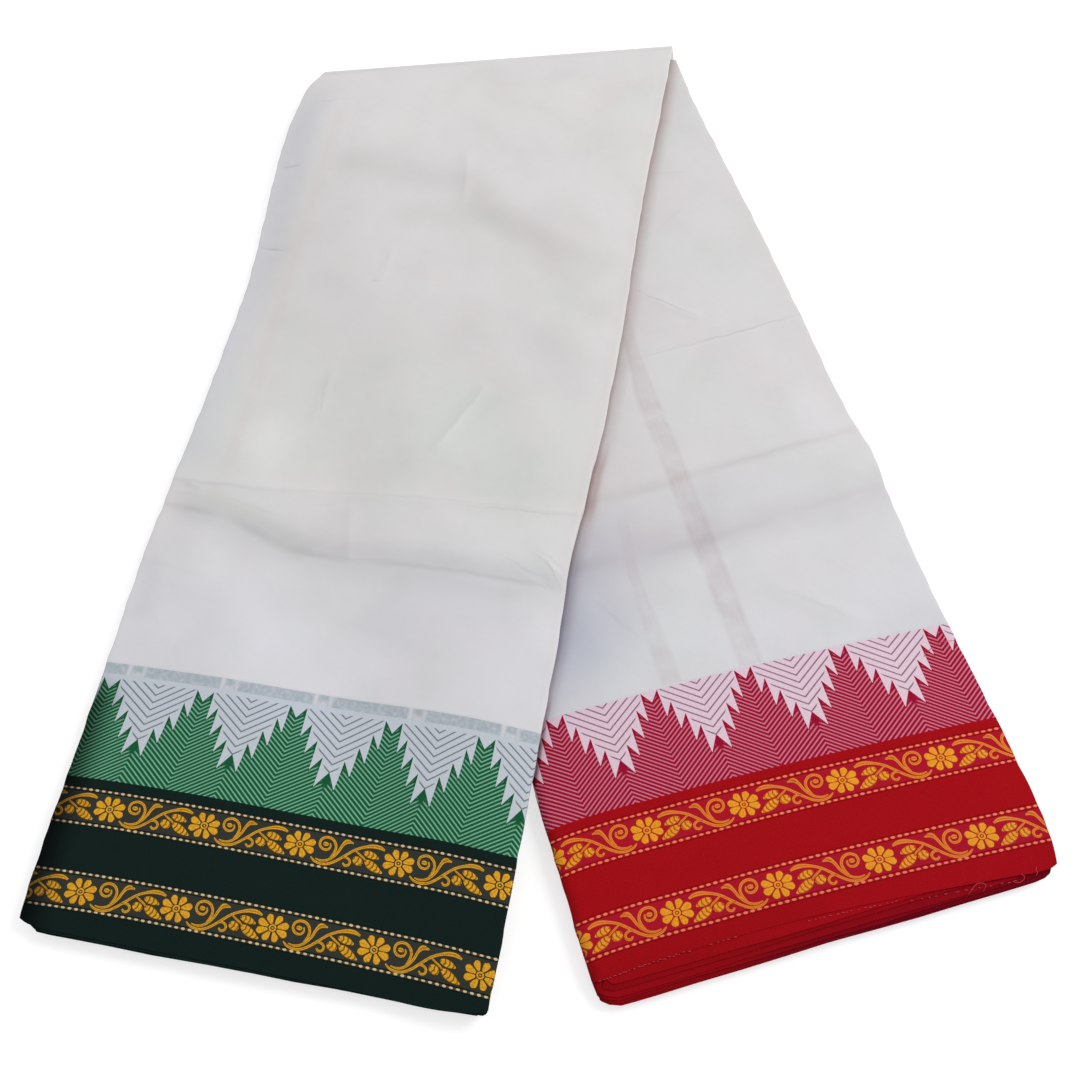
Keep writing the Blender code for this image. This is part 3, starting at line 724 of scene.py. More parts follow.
def hidden_plies(name, side, start, end, rows, material, node, from_fold=False):
    """The plies beneath a top ply: one sheet folded to and fro, from line start to line end."""
    level, share, bulge, left_turn, right_turn = zigzag(side)

    def spread(left, right, reach):
        left = left + inset_at(side, left_turn, reach, -1) + BIGHT
        right = right - inset_at(side, right_turn, reach, 1) - BIGHT
        return blend(share, left, right) + bulge

    down = (np.arange(rows + 1) / rows)[:, None]
    offset = blend(share, -HALF, HALF)[None, :]
    for _ in range(PASSES):
        reach = blend(down, start(side, offset, level), end(side, offset, level))
        offset = spread(edge_offset(side, reach, -1), edge_offset(side, reach, 1), reach)
    x, y = plan(side, reach, offset)
    depth = (level + 0.5) * PLY_PITCH
    pressed = SQUEEZE / 1000 * near_path(CREASES[side][TROUGH][2:], SQUEEZE_WIDTH, reach, offset)
    high = topside(side, reach, offset) - pressed
    z = blend(depth / STACK, high, underside(side, x, y))
    if side == LOWER and from_fold:
        z = np.where(reach < LOWEST_TO, np.maximum(z, LOWEST), z)
    points = stacked(x, y, z)
    if from_fold:
        quarter = np.linspace(0.0, math.pi / 2, QUARTER_ROWS)
        turns = quarter[:0:-1] if side == UPPER else math.pi / 2 + quarter[:-1]
        behind = turns[:, None] * FOLD_RADIUS
        nose_offset = spread(nose_edge(behind, -1), nose_edge(behind, 1), np.zeros_like(behind))
        nose_depth = depth if side == UPPER else np.maximum(STACK - depth, LOWEST)
        points = np.concatenate([nose_point(behind, nose_offset, nose_depth), points])
        reach = np.concatenate([np.broadcast_to(-behind, nose_offset.shape), reach])
        offset = np.concatenate([nose_offset, offset])
    maps = {"cloth": stacked(offset, -reach),
            "pattern": pattern_at(side, reach, offset) + stacked(0.02 * np.sin(2.1 * np.rint(level)), 0.0),
            "beside": beside_upper(side, reach, offset) + (20.0, 0.0)}  # clear of the upper arm's shade
    data = sheet_mesh(name, points, maps, ply_shaded_tones(side, level, reach, offset))
    cut_cloth(show(name, data, material, [node]), sizes().ply_thickness, inward=False)


# ---- materials ------------------------------------------------------------------------------------------
class Wire:
    """A value that runs through a material's nodes. Sums and products of it become math nodes."""

    def __init__(self, socket):
        self.socket = socket

    def math(self, operation, *others, clamp=False):
        """A math node on this value and others."""
        made = self.socket.id_data.nodes.new("ShaderNodeMath")
        made.operation, made.use_clamp = operation, clamp
        for socket, value in zip(made.inputs, (self, *others)):
            feed(socket, value)
        return Wire(made.outputs[0])

    def line(self, slope, lift, clamp=False):
        """The value times slope, plus lift. Clamped, it stays from 0 to 1."""
        return self.math("MULTIPLY_ADD", slope, lift, clamp=clamp)

    def __add__(self, other):
        return self.math("ADD", other)

    def __sub__(self, other):
        return self.math("SUBTRACT", other)

    def __rsub__(self, other):
        return self.line(-1.0, other)

    def __mul__(self, other):
        return self.math("MULTIPLY", other)

    def __abs__(self):
        return self.math("ABSOLUTE")

    def past(self, edge, soft=0.15):
        """1 where the value is past edge, 0 before it, with a soft step."""
        if isinstance(edge, Wire):
            return (self - edge).line(1 / soft, 0.5, clamp=True)
        return self.line(1 / soft, 0.5 - edge / soft, clamp=True)

    def within(self, low, high, soft=0.15):
        """1 between low and high, 0 outside, with soft steps."""
        return self.past(low, soft) * (1.0 - self.past(high, soft))

    def about(self, middle, spread):
        """1 at middle, falling evenly to 0 at spread from it."""
        return (1.0 - abs(self - middle) * (1 / spread)).line(1.0, 0.0, clamp=True)

    def stripes(self, pitch, start, thickness, soft=0.15):
        """Lines across the value: one at start and at each pitch from it."""
        away = abs((self - (start - pitch / 2)).math("FLOORED_MODULO", pitch) - pitch / 2)
        return away.line(-1 / soft, 0.5 + thickness / 2 / soft, clamp=True)


def feed(socket, value):
    """Gives a node's socket a wire or a fixed value. Fixed colours are opaque."""
    if isinstance(value, Wire):
        socket.id_data.links.new(value.socket, socket)
    else:
        socket.default_value = (*value, 1.0) if socket.type == "RGBA" else value


class Recipe:
    """A material, written a step at a time."""

    def __init__(self, name, roughness=0.85, shine=0.2):
        self.material = bpy.data.materials.new(name)
        self.material.use_nodes = True
        self.tree = self.material.node_tree
        self.shader = self.tree.nodes["Principled BSDF"]
        self.set(self.shader, {"Roughness": roughness, "Specular IOR Level": shine})

    def set(self, node, values):
        """Feeds a node's sockets, by name or number."""
        for key, value in values.items():
            feed(node.inputs[key], value)

    def node(self, kind, values, output=0, **settings):
        """Adds a node and gives one of its outputs."""
        made = self.tree.nodes.new(kind)
        for key, value in settings.items():
            setattr(made, key, value)
        self.set(made, values)
        return Wire(made.outputs[output])

    def mix(self, share, first, second, blend_type="MIX"):
        """A share of the way from the first colour to the second."""
        return self.node("ShaderNodeMix", {0: share, 6: first, 7: second}, 2, data_type="RGBA",
                         blend_type=blend_type)

    def vectors(self, operation, *vectors):
        """A vector math node on wires or fixed vectors."""
        return self.node("ShaderNodeVectorMath", dict(enumerate(vectors)), operation=operation)

    def times(self, colour, factor):
        """A colour times a factor."""
        return self.mix(1.0, colour, factor, "MULTIPLY")

    def noise(self, vector, scale, detail=2.0, output="Fac"):
        """Soft noise from 0 to 1."""
        return self.node("ShaderNodeTexNoise", {"Vector": vector, "Scale": scale, "Detail": detail}, output)

    def uv(self, name):
        """A UV map's vector, and its two parts."""
        vector = self.node("ShaderNodeUVMap", {}, uv_map=name)
        return vector, *(self.node("ShaderNodeSeparateXYZ", {0: vector}, part) for part in (0, 1))

    def plain_weave(self):
        """The height of a plain weave of slightly uneven threads, and the cloth's own lengths."""
        vector, across, along = self.uv("cloth")
        wobble = self.noise(vector, 900.0) * 0.0004
        warp, weft = (((lengths + wobble) * (2 * math.pi / pitch)).math("SINE")
                      for lengths, pitch in ((across, 0.00048), (along, 0.00052)))
        return warp * weft, vector, across, along

    def shaded_beside(self, colour):
        """Paints shadow on the lower arm where it lies close beside the upper arm, brownish in the gap at the
        fold.
        """
        _, clear, reach = self.uv("beside")
        field, border = 1.0 - reach.past(0.450, 0.04), reach.past(0.450, 0.04)
        # Each strip of painted shadow beside the upper arm: how wide and how soft, in centimetres; factor;
        # where along the arm.
        for wide, soft, factor, share in (
                (0.24, 0.42, (0.925, 0.87, 0.868), border),
                (0.50, 0.70, (0.875, 0.82, 0.81), field - reach.about(0.320, 0.036) * 0.5),
                (0.06, 0.24, (0.56, 0.46, 0.46), reach.about(0.36, 0.12).line(0.45, 0.38)),
                (0.35, 0.50, (0.91, 0.86, 0.85), 1.0 - reach.past(0.15, 0.15)),
                (0.50, 0.22, (0.85, 0.76, 0.75), reach.past(0.328, 0.016) * (1.0 - reach.past(0.366, 0.012))),
                (0.30, 0.60, (0.76, 0.77, 0.83), reach.about(0.425, 0.060).line(1.5, 0.0, clamp=True)),
                (0.10, 0.16, (0.34, 0.26, 0.28), reach.past(0.475, 0.03))):
            near = (1.0 - clear.past(wide, soft)) * share
            colour = self.mix(near, colour, self.times(colour, factor))
        return colour

    def finish(self, colour, shaded=False, height=None, depth=0.0):
        """Takes the soft tones with their painted shade and light, and the painted shadow beside the upper
        arm if shaded, and perhaps a weave of a height, and gives the material.
        """
        # The colour attribute brings the soft tones with their painted shade and light.
        colour = self.times(colour, self.node("ShaderNodeVertexColor", {}, layer_name="shaded_tones"))
        self.set(self.shader, {"Base Color": self.shaded_beside(colour) if shaded else colour})
        if height is not None:
            bumped = self.node("ShaderNodeBump", {"Strength": 0.6, "Distance": depth, "Height": height})
            self.set(self.shader, {"Normal": bumped})
        return self.material


def crease_shade(recipe, vector, side):
    """How much painted shade the fine creases put on the cloth, painted light where negative."""
    wander = recipe.vectors("SUBTRACT", recipe.noise(vector, 90.0, output="Color"), (0.5, 0.5, 0.5))
    wander = recipe.vectors("MULTIPLY", wander, (4.0, 4.0, 0.0))
    spot = recipe.vectors("MULTIPLY_ADD", vector, (1000.0, 1000.0, 0.0), wander)
    total = 0.0
    for reach, offset, turn, half_length, half_width, dark in FINE_CREASES[side]:
        place = recipe.node("ShaderNodeMapping", {
            "Vector": spot, "Location": (offset, -reach, 0.0), "Rotation": (0.0, 0.0, math.radians(turn)),
            "Scale": (half_length, half_width, 1.0)}, vector_type="TEXTURE")
        near = recipe.node("ShaderNodeTexGradient", {"Vector": place}, "Fac", gradient_type="SPHERICAL")
        total = near.line(dark, total)
    return total


# Bands where hems of plies beneath show through the lower arm, narrower towards the fold, in metres: middle,
# half width, start; strength; the reach where its line bends, and how steeply it runs to the right from there
# towards the fold.
SEEN_THROUGH = (
    (0.0102, 0.0046, 0.225, 0.37, 0.290, 0.08),
    (-0.0332, 0.0034, 0.380, 0.30, 0.410, 0.12),
)


def seen_through(recipe, colour, vector, across, along):
    """Tints the cloth where the hems of plies beneath show through."""
    reach = along * -1.0
    worn = recipe.noise(vector, 75.0, 4.0).line(3.0, -0.75, clamp=True)
    for middle, apart, start, strength, knee, slope in SEEN_THROUGH:
        to_fold = (knee - reach).math("MAXIMUM", 0.0)
        narrow = reach.past(start + 0.030, 0.08).math("MAXIMUM", 0.6)
        near = abs(across - to_fold.line(slope, middle)).math("DIVIDE", narrow)
        line = near.within(apart - 0.0016, apart + 0.0012, 0.0040)
        band = (1.0 - near.past(apart, 0.0046)) * 0.65
        shown = line.math("MAXIMUM", band) * reach.past(start + 0.01, 0.07) * worn * strength
        colour = recipe.mix(shown, colour, paints().seen_through)
    return colour


# Patches of a pinkish, a greenish and a darker tinge: how many to a metre, factor on the colour.
PATCHES = ((17.0, (1.0, 0.962, 0.972)), (13.0, (0.968, 0.992, 0.968)), (31.0, (0.965, 0.965, 0.965)))


def cotton_material(name, side=None):
    """Bleached cotton: a fine plain weave with thicker threads here and there, its soft tones, and painted
    shade and light.
    """
    recipe = Recipe(name, 0.9)
    threads, vector, across, along = recipe.plain_weave()
    drawn_out = recipe.node("ShaderNodeMapping", {"Vector": vector, "Scale": (1.0, 14.0, 1.0)})
    slubs = recipe.noise(drawn_out, 110.0, 3.0)
    colour = recipe.mix(slubs * 0.10, paints().white, (0.52, 0.515, 0.51))
    mottle = recipe.noise(vector, 26.0, 4.0).line(0.5, -0.15, clamp=True)
    colour = recipe.mix(mottle, colour, (0.60, 0.598, 0.60))
    for scale, factor in PATCHES:
        patch = recipe.noise(vector, scale, 3.0).line(4.0, -1.9, clamp=True)
        colour = recipe.mix(patch, colour, recipe.times(colour, factor))
    height = slubs.line(0.8, threads * 0.35)
    if side == LOWER:
        colour = seen_through(recipe, colour, vector, across, along)
    if side is not None:
        creased = crease_shade(recipe, vector, side)
        # Painted shade in the fine creases; the same spots dent the bump.
        colour = recipe.times(colour, 1.0 - creased)
        height = creased.line(-7.0, height)
    height = recipe.noise(vector, 38.0, 3.0).line(10.0, height)
    recipe.set(recipe.shader, {"Sheen Weight": 0.12, "Sheen Roughness": 0.6})
    return recipe.finish(colour, side == LOWER, height, 0.00012)


TEMPLE_WIDE = 51.7
# One half of a temple's stepped outline: millimetres from the peak's middle, and below the tips.
TEMPLE_STEPS = ((0.0, 6.3), (4.6, 0.0), (5.1, 15.9), (9.5, 8.2), (9.95, 24.1), (14.8, 16.4), (15.25, 32.3),
                (20.1, 24.6), (20.5, 40.6), (25.85, 31.5))
OUTLINE_WIDE, OUTLINE_DEEP = 26.0, 50.0  # the size of the curve that holds it
# Down from the temples' tips: the faint band over the green ones, and where the plain stripes start.
BAND_TOP, BAND_FOOT, STRIPES_FROM = -8.6, -2.4, 55.7
DASH_MARGIN, GOLD_MARGIN = 1.1, 2.4  # from a dash row to the vines' ground, and to their gold


def temple_outline(recipe, from_peak):
    """How far below the tips the temple's stepped outline lies, at a distance from its middle."""
    outline = recipe.node("ShaderNodeFloatCurve", {"Value": from_peak.math("DIVIDE", OUTLINE_WIDE)})
    mapping = outline.socket.node.mapping
    points = mapping.curves[0].points
    for x, y in TEMPLE_STEPS[1:-1]:
        points.new(x / OUTLINE_WIDE, y / OUTLINE_DEEP)
    points[0].location = (0.0, TEMPLE_STEPS[0][1] / OUTLINE_DEEP)
    points[len(points) - 1].location = (1.0, TEMPLE_STEPS[-1][1] / OUTLINE_DEEP)
    for point in points:
        point.handle_type = "VECTOR"
    mapping.update()
    return outline * OUTLINE_DEEP


def dye(side, name):
    """One of a border's colours."""
    return getattr(paints(), f"{BORDERS[side]}_{name}")


def border_material(name, side, with_specks=False):
    """The woven border: a temple edging, then plain stripes and two vine bands between rows of dashes."""
    recipe = Recipe(name, 0.9, 0.05)
    threads, vector, across, along = recipe.plain_weave()
    _, repeat, below = recipe.uv("pattern")
    from_peak = abs(repeat - repeat.math("ROUND")) * TEMPLE_WIDE
    step = temple_outline(recipe, from_peak)

    # pale ground between the temples, with lines that follow the valleys
    line = (TEMPLE_WIDE / 2 - from_peak).line(0.74, below)
    inside = line.line(-1.262, from_peak + 18.27)
    vee = line.stripes(pitch=4.2, start=2.35, thickness=0.85, soft=0.50)
    vee = vee * (inside.past(0.0, 0.5) * below.past(0.2, 0.4))
    vee = vee * recipe.noise(vector, 1500.0).line(0.8, 0.5, clamp=True)
    pale = recipe.mix(vee, dye(side, "side_white"), dye(side, "side_vee"))

    # the temples, with pale lines that follow their peaks
    chevron = from_peak.line(0.75, below).stripes(pitch=2.42, start=8.4, thickness=0.85, soft=0.40)
    body = (below - from_peak.line(1.62, -7.3)).past(6.5, 3.0) * (below - step).past(1.2, 1.0)
    chevron = chevron * body * recipe.noise(vector, 2600.0, 1.0).line(0.8, 0.55, clamp=True)
    temple = recipe.mix(chevron, dye(side, "temple"), dye(side, "chevron"))
    colour = recipe.mix(below.past(step, 0.2), pale, temple)

    if side == UPPER:
        # the faint hatched band above the temples, with its gaps
        place = repeat.math("FLOORED_MODULO", 1.0) * TEMPLE_WIDE
        wedge = place.within(8.8, 14.4, 0.9) * below.past(-5.0, 2.0)
        gap = place.within(6.4, 8.8, 1.5).math("MAXIMUM", place.within(14.4, 16.4, 1.5) * 0.7)
        gap = gap.math("MAXIMUM", wedge * 0.7)
        hatch = (across + below * 0.0008).stripes(pitch=0.0011, start=0.0, thickness=0.0004, soft=0.0004)
        band = below.within(BAND_TOP, BAND_FOOT, 0.5) * gap.line(-0.82, 1.0) * hatch.line(-0.25, 1.0)
        band = band * recipe.noise(vector, 420.0).line(1.5, 0.1, clamp=True)
        colour = recipe.mix(below.within(-30.0, BAND_FOOT, 0.5), colour, paints().white)
        colour = recipe.mix(band, colour, paints().faint_band)
    else:
        colour = recipe.mix(1.0 - below.past(0.0, 0.6), colour, paints().white)

    # plain stripes, and the ground of the vines
    plain = recipe.mix(recipe.noise(vector, 60.0, 4.0) * 0.5, dye(side, "plain"), dye(side, "mottle"))
    colour = recipe.mix(below.past(STRIPES_FROM, 0.3), colour, plain)
    twill = (across + along).stripes(pitch=0.0011, start=0.0, thickness=0.0005, soft=0.0005)
    ribs = "plain" if side == UPPER else "mottle"
    ground = recipe.mix(twill * 0.55, dye(side, "vine_ground"), dye(side, ribs))
    for top, foot in (DASH_BELOW[:2], DASH_BELOW[2:]):
        colour = recipe.mix(below.within(top + DASH_MARGIN, foot - DASH_MARGIN, 0.3), colour, ground)
        if with_specks:
            specks = recipe.noise(vector, 330.0, 1.0).past(0.52, 0.06)
            specks = specks * below.within(top + GOLD_MARGIN, foot - GOLD_MARGIN, 0.6)
            colour = recipe.mix(specks, colour, paints().green_gold)
    for row in DASH_BELOW:
        beside = abs(below - row)
        colour = recipe.mix(beside.within(0.7, 1.3, 0.25) * 0.7, colour, dye(side, "line"))
        colour = recipe.mix(1.0 - beside.past(0.55, 0.3), colour, dye(side, "dash_line"))
    speckle = recipe.noise(vector, 1500.0).line(0.5, 0.76)
    colour = recipe.mix(below.past(-2.0, 1.0), colour, recipe.times(colour, speckle))
    return recipe.finish(colour, side == LOWER, chevron.line(0.5, threads), 0.00010)


GOLD_RIM = {UPPER: 0.385, LOWER: 0.405}  # where a gold stroke's darker outline starts, from its middle


def gold_material(name, side):
    """Zari thread: yellow satin ribs, a dark slit along the middle, hatched leaves and a darker outline."""
    recipe = Recipe(name, 0.5, 0.12)
    _, place, along = recipe.uv("stroke")
    across = abs(place.math("FRACT") - 0.5)
    leaf, stem = place.past(2.0, 0.001), 1.0 - place.past(1.0, 0.001)
    ribs = along.stripes(pitch=0.55, start=0.0, thickness=0.2, soft=0.2)
    hatch = across.line(1.6, along).stripes(pitch=2.3, start=0.6, thickness=0.75, soft=0.35)
    slit = (1.0 - across.past(0.10, 0.16)) * stem.line(0.62, 0.10)
    shadow = slit.math("MAXIMUM", hatch * leaf * 0.85).math("MAXIMUM", across.past(GOLD_RIM[side], 0.10))
    fleck = recipe.noise(recipe.node("ShaderNodeTexCoord", {}, "Object"), 1300.0, 1.0)
    thread, deep = dye(side, "gold"), dye(side, "gold_deep")
    if side == LOWER:
        thread = recipe.mix(stem * 0.75, thread, paints().red_stem)
    colour = recipe.mix(ribs * 0.25, thread, deep)
    colour = recipe.mix(fleck.line(2.0, -0.75, clamp=True), colour, deep)
    colour = recipe.mix(shadow, colour, dye(side, "gold_edge"))
    return recipe.finish(colour, False, ribs, 0.00008)


def dash_material(name, side):
    """Dashes of thick thread."""
    recipe = Recipe(name, 0.6, 0.15)
    _, place, _ = recipe.uv("stroke")
    rim = abs(place.math("FRACT") - 0.5).past(0.38, 0.14)
    return recipe.finish(recipe.mix(rim, dye(side, "dash"), dye(side, "dash_line")))


def plain_material(name, colour, roughness=0.85, glow=0.0):
    """One even colour, perhaps with a glow."""
    recipe = Recipe(name, roughness)
    recipe.set(recipe.shader, {"Base Color": colour, "Emission Color": (1.0, 1.0, 1.0),
                               "Emission Strength": glow})
    return recipe.material


# ---- brocaded vines and dashes --------------------------------------------------------------------------
# A stroke is a list of points on its middle line: (right, up, width), from the flower's middle.
VINE = (
    # the scroll beside the flower, and the blob in its middle
    ((16.6, -3.6, 0.9), (17.9, -1.2, 1.5), (18.3, 2, 1.6), (16.2, 5.2, 1.6), (12.7, 6, 1.6), (10.1, 4.4, 1.6),
     (9.9, 1.7, 1.5), (11.9, -0.1, 1.5), (14.4, 0, 1.4), (15.5, 1.8, 1.2), (14.9, 3.3, 0.8)),
    ((11.5, 2.5, 1.4), (12.9, 2.6, 2.8), (14.3, 2.4, 1.2)),
    # the stem that rises to a bud
    ((9.4, -5.4, 0.7), (12, -5.9, 1.2), (15, -5.3, 1.5), (17.8, -3.2, 1.6), (19.9, -0.2, 1.6),
     (21.4, 3.6, 1.9), (23.2, 5.9, 2.5), (24.8, 6.3, 1.2)),
    ((22.4, 4.6, 1.2), (24.3, 5.7, 1.8), (26.6, 5.5, 0.8)),
    # the arch over the leaves
    ((6.8, -5, 0.8), (8.8, -6.5, 1.3), (12.2, -7.4, 1.5), (16, -6.9, 1.6), (19.8, -4.7, 1.6),
     (23.8, -1.2, 1.6), (28.3, 2.6, 1.6), (32.8, 4.8, 1.7), (37.1, 5.9, 2.4), (40.4, 5.8, 2.2),
     (43, 4.9, 1.1)),
    # a curl beneath it
    ((22, -2.4, 1.1), (24.9, -2.1, 1.4), (26.8, -3.5, 1.5), (26.5, -5.4, 1.5), (24.6, -6, 1.4),
     (23.4, -4.9, 1)),
    # the twig between the leaves
    ((28.6, 2, 0.9), (31, 0.6, 1.2), (33.2, -0.6, 1.1), (34.8, -2, 0.8)),
)
LEAVES = (
    ((28, -1.5, 1.8), (29, -2, 4.2), (30.5, -2.6, 5), (32, -3.3, 4.2), (33, -3.8, 1.6)),
    ((32.6, 2, 1.4), (34.4, 1.8, 3.7), (36.6, 1.4, 4.1), (38.9, 0.9, 3), (40.8, 0.4, 0.8)),
    ((34, -1.7, 1.4), (35.8, -2.6, 4.1), (38.4, -3.9, 4.9), (41.2, -5.1, 3.6), (44, -6.2, 0.8)),
)
# A flower's petal, from its root out: how far out, width; how wide and how high the flower's round is drawn;
# its ring: how wide, how high, width of the thread; its dot.
PETAL = ((2.3, 1.3), (3.4, 2.5), (4.9, 3.8), (6.2, 4.2), (7.1, 3.0), (7.5, 1.2))
PETALS, FLOWER_ROUND = 8, (1.10, 0.88)
RING, RING_STEPS = (1.55, 1.4, 1.05), 12
DOT = ((-0.5, 0.0, 0.7), (0.0, 0.0, 1.1), (0.5, 0.0, 0.7))
STROKE_STEP = 0.9
SHOWN_PAST = 0.003  # how far past the arm's edge a stroke is still laid, in metres
# A stroke's columns: places across it as shares of its width, and their rise over the cloth.
ACROSS_STROKE = np.array([-0.5, -0.25, 0.25, 0.5])
STROKE_RISE = np.array([0.02, 0.13, 0.13, 0.02])
DASH_PITCH, DASH_SHIFT = 3.45, 0.37  # the shift from row to row is a share of the pitch
DASH_SIZE = {UPPER: (1.9, 1.25), LOWER: (2.15, 1.35)}  # length, width
DASH_END, DASH_BELLY = 0.62, 0.12  # how wide a dash's ends are, and how unevenly wide its middle
DASH_SPARE = 5.5  # how far out past the arm's edge the first dash of a row may lie


def flower():
    """Eight petals round a ring and a dot."""
    strokes = []
    for k in range(PETALS):
        angle = 2 * math.pi * (k + 0.5) / PETALS
        right, up = math.cos(angle) * FLOWER_ROUND[0], math.sin(angle) * FLOWER_ROUND[1]
        strokes.append([(right * out, up * out, width) for out, width in PETAL])
    wide, high, width = RING
    turns = [2 * math.pi * k / RING_STEPS for k in range(RING_STEPS + 1)]
    return [*strokes, [(wide * math.cos(turn), high * math.sin(turn), width) for turn in turns], DOT]


def smooth_path(points, step):
    """Points along a smooth line through the given ones, at about equal steps, and how far along they lie."""
    rows = np.array(points)
    spans = np.linalg.norm(np.diff(rows[:, :2], axis=0), axis=1)
    at = np.concatenate([[0.0], np.cumsum(spans)])
    new = np.linspace(0.0, at[-1], max(4, int(at[-1] / step) + 1))
    return smooth_rows(at, rows, new), new


def stroke_grid(points, kind=0):
    """A stroke's flat grid: how far right and up each point lies, and its place in the thread.

    The place across it runs from 0 to 1 in a stem, from 1 to 2 in a petal and from 2 to 3 in a leaf.
    """
    path, at = smooth_path(points, STROKE_STEP)
    heading = np.gradient(path[:, :2], axis=0)
    heading /= np.linalg.norm(heading, axis=1)[:, None]
    away = ACROSS_STROKE * path[:, 2:]
    right, up = path[:, :1] - heading[:, 1:] * away, path[:, 1:2] + heading[:, :1] * away
    return right, up, stacked(ACROSS_STROKE * 0.998 + 0.5 + kind, at[:, None])


def join_meshes(name, meshes):
    """One mesh of many, all with the same UV maps."""
    joined = bmesh.new()
    for data in filter(None, meshes):
        joined.from_mesh(data)
        bpy.data.meshes.remove(data)
    data = bpy.data.meshes.new(name)
    joined.to_mesh(data)
    joined.free()
    data.shade_smooth()
    return data


def stroke_mesh(side, right, up, thread, centre, middle_up, mirror=False):
    """Lays a stroke's grid on the arm's top ply, on a line across it. Nothing shows past the arm's edge."""
    offset = (centre + (-1 if mirror else 1) * right) / 1000
    reach = woven_line(side, middle_up + up, offset)
    past = np.sign(offset) * (offset - nearer_edge(side, reach, offset))
    shown = np.flatnonzero((past < SHOWN_PAST).any(axis=1))
    if len(shown) < 2:
        return None
    shown = slice(shown[0], shown[-1] + 1)
    offset, reach, thread = offset[shown], reach[shown], thread[shown]
    points = cloth_point(side, reach, offset, STROKE_RISE / 1000)
    if mirror:
        points, thread = points[:, ::-1], thread[:, ::-1]
    bake = bake_spots(thread / (3.0, max(thread[..., 1].max(), 1e-6)), 0.02)
    return sheet_mesh("stroke", points[::-1], {"stroke": thread[::-1], "OFBake": bake[::-1]},
                      tones_and_shade_at(side, reach, offset)[::-1])


def vine_piece(name, side, material):
    """Both vine bands of a border."""
    shapes = [stroke_grid(stroke, kind) for kind, strokes in enumerate((VINE, flower(), LEAVES))
              for stroke in strokes]
    meshes = [stroke_mesh(side, *shape, centre, middle, side == LOWER)
              for centres, middle in zip(FLOWERS[side], VINE_UP) for centre in centres for shape in shapes]
    show(name, join_meshes(name, meshes), material)


def dash_piece(name, side, material):
    """The four rows of short dashes that edge the vine bands."""
    long, wide = DASH_SIZE[side]
    meshes = []
    for row, up in enumerate(DASH_ROWS):
        for k in range(int((2 * HALF * 1000 + 10) / DASH_PITCH)):
            centre = -HALF * 1000 - DASH_SPARE + DASH_PITCH * (k + DASH_SHIFT * row)
            belly = 1 + DASH_BELLY * math.sin(5.1 * k + 2.3 * row)
            dash = [(long * right, 0, wide * width) for right, width in
                    ((-0.5, DASH_END), (-0.25, belly), (0.25, belly), (0.5, DASH_END))]
            meshes.append(stroke_mesh(side, *stroke_grid(dash, 1), centre, up))
    show(name, join_meshes(name, meshes), material)


# ---- loose threads --------------------------------------------------------------------------------------
# Loose threads: side, then points: reach, offset, height above the cloth or floor.
THREADS = (
    (LOWER, (615, 103.3, 0.3), (616.4, 102.2, 0.6), (617.8, 102.6, 0.4), (618.6, 101.5, 0.2)),
    (LOWER, (619, 66.5, 0.3), (616.8, 69, 0.6), (614.6, 74, 0.8), (616, 77, 0.7), (618.6, 75, 0.4)),
    (LOWER, (616, 95, 0.3), (618, 96, 0.6), (619.4, 93, 0.5), (618, 90, 0.3)),
    (LOWER, (613.4, 26.2, 0.4), (615.4, 25.6, 0.6), (617.4, 24, 0.3)),
    (LOWER, (498, 97, 0.4), (494.6, 103.5, 1.2), (493.4, 109, 1.6), (494.4, 115.5, 1)),
)
# Short stitches along the red end: from and to offset, pitch, how far past the end.
STITCHES = ((-113, -66, 1.9, 0.2), (-58, -40, 3.1, 0.2), (-10, 36, 2.7, 1.6), (40, 96, 4.3, 2.4))
THREAD_RADIUS, THREAD_SIDES, THREAD_STEP = 0.00014, 6, 1.5
THREAD_DROOP, DROOP_RUN = 0.0035, 0.006  # how far a thread droops past the cloth's end, and over what length


def stitches():
    """Threads as short as stitches, unevenly along the red end."""
    for start, stop, pitch, past in STITCHES:
        for k in range(int((stop - start) / pitch)):
            offset = start + pitch * (k + 0.25 * math.sin(7.7 * k))
            reach = float(selvedge_line(LOWER, offset / 1000)) * 1000 + past + 0.3 * math.sin(3.1 * k)
            long = 0.60 + 0.2 * math.sin(5.3 * k)
            yield (LOWER, (reach, offset, 0.12), (reach - 0.1, offset + long, 0.3),
                   (reach + 0.15, offset + 2 * long, 0.12))


def thread_piece(name, material):
    """The loose threads and stitches, as thin tubes."""
    meshes = []
    for side, *rows in (*THREADS, *stitches()):
        path, _ = smooth_path(rows, THREAD_STEP)
        reach, offset, rise = path.T / 1000
        end = selvedge_line(side, offset)
        level = topside(side, np.minimum(reach, end), offset)
        level = level - smooth((reach - end) / DROOP_RUN) * THREAD_DROOP
        middle = stacked(*plan(side, reach, offset), level + rise)
        heading = np.gradient(middle, axis=0)
        heading /= np.linalg.norm(heading, axis=1)[:, None]
        sideways = np.cross(heading, (0.0, 0.0, 1.0))
        upward = np.cross(sideways, heading)
        turn = (2 * math.pi * np.arange(THREAD_SIDES + 1) / THREAD_SIDES)[None, :, None]
        ring = np.cos(turn) * sideways[:, None] + np.sin(turn) * upward[:, None]
        meshes.append(sheet_mesh("thread", middle[:, None] + THREAD_RADIUS * ring, {}))
    data = join_meshes(name, meshes)
    mesh = bmesh.new()
    mesh.from_mesh(data)
    bmesh.ops.remove_doubles(mesh, verts=mesh.verts, dist=1e-6)
    bmesh.ops.holes_fill(mesh, edges=mesh.edges)
    bmesh.ops.recalc_face_normals(mesh, faces=mesh.faces)
    mesh.to_mesh(data)
    mesh.free()
    show(name, data, material)


# ---- settings -------------------------------------------------------------------------------------------
LIT = 1.11  # how much the stage's light brightens a colour

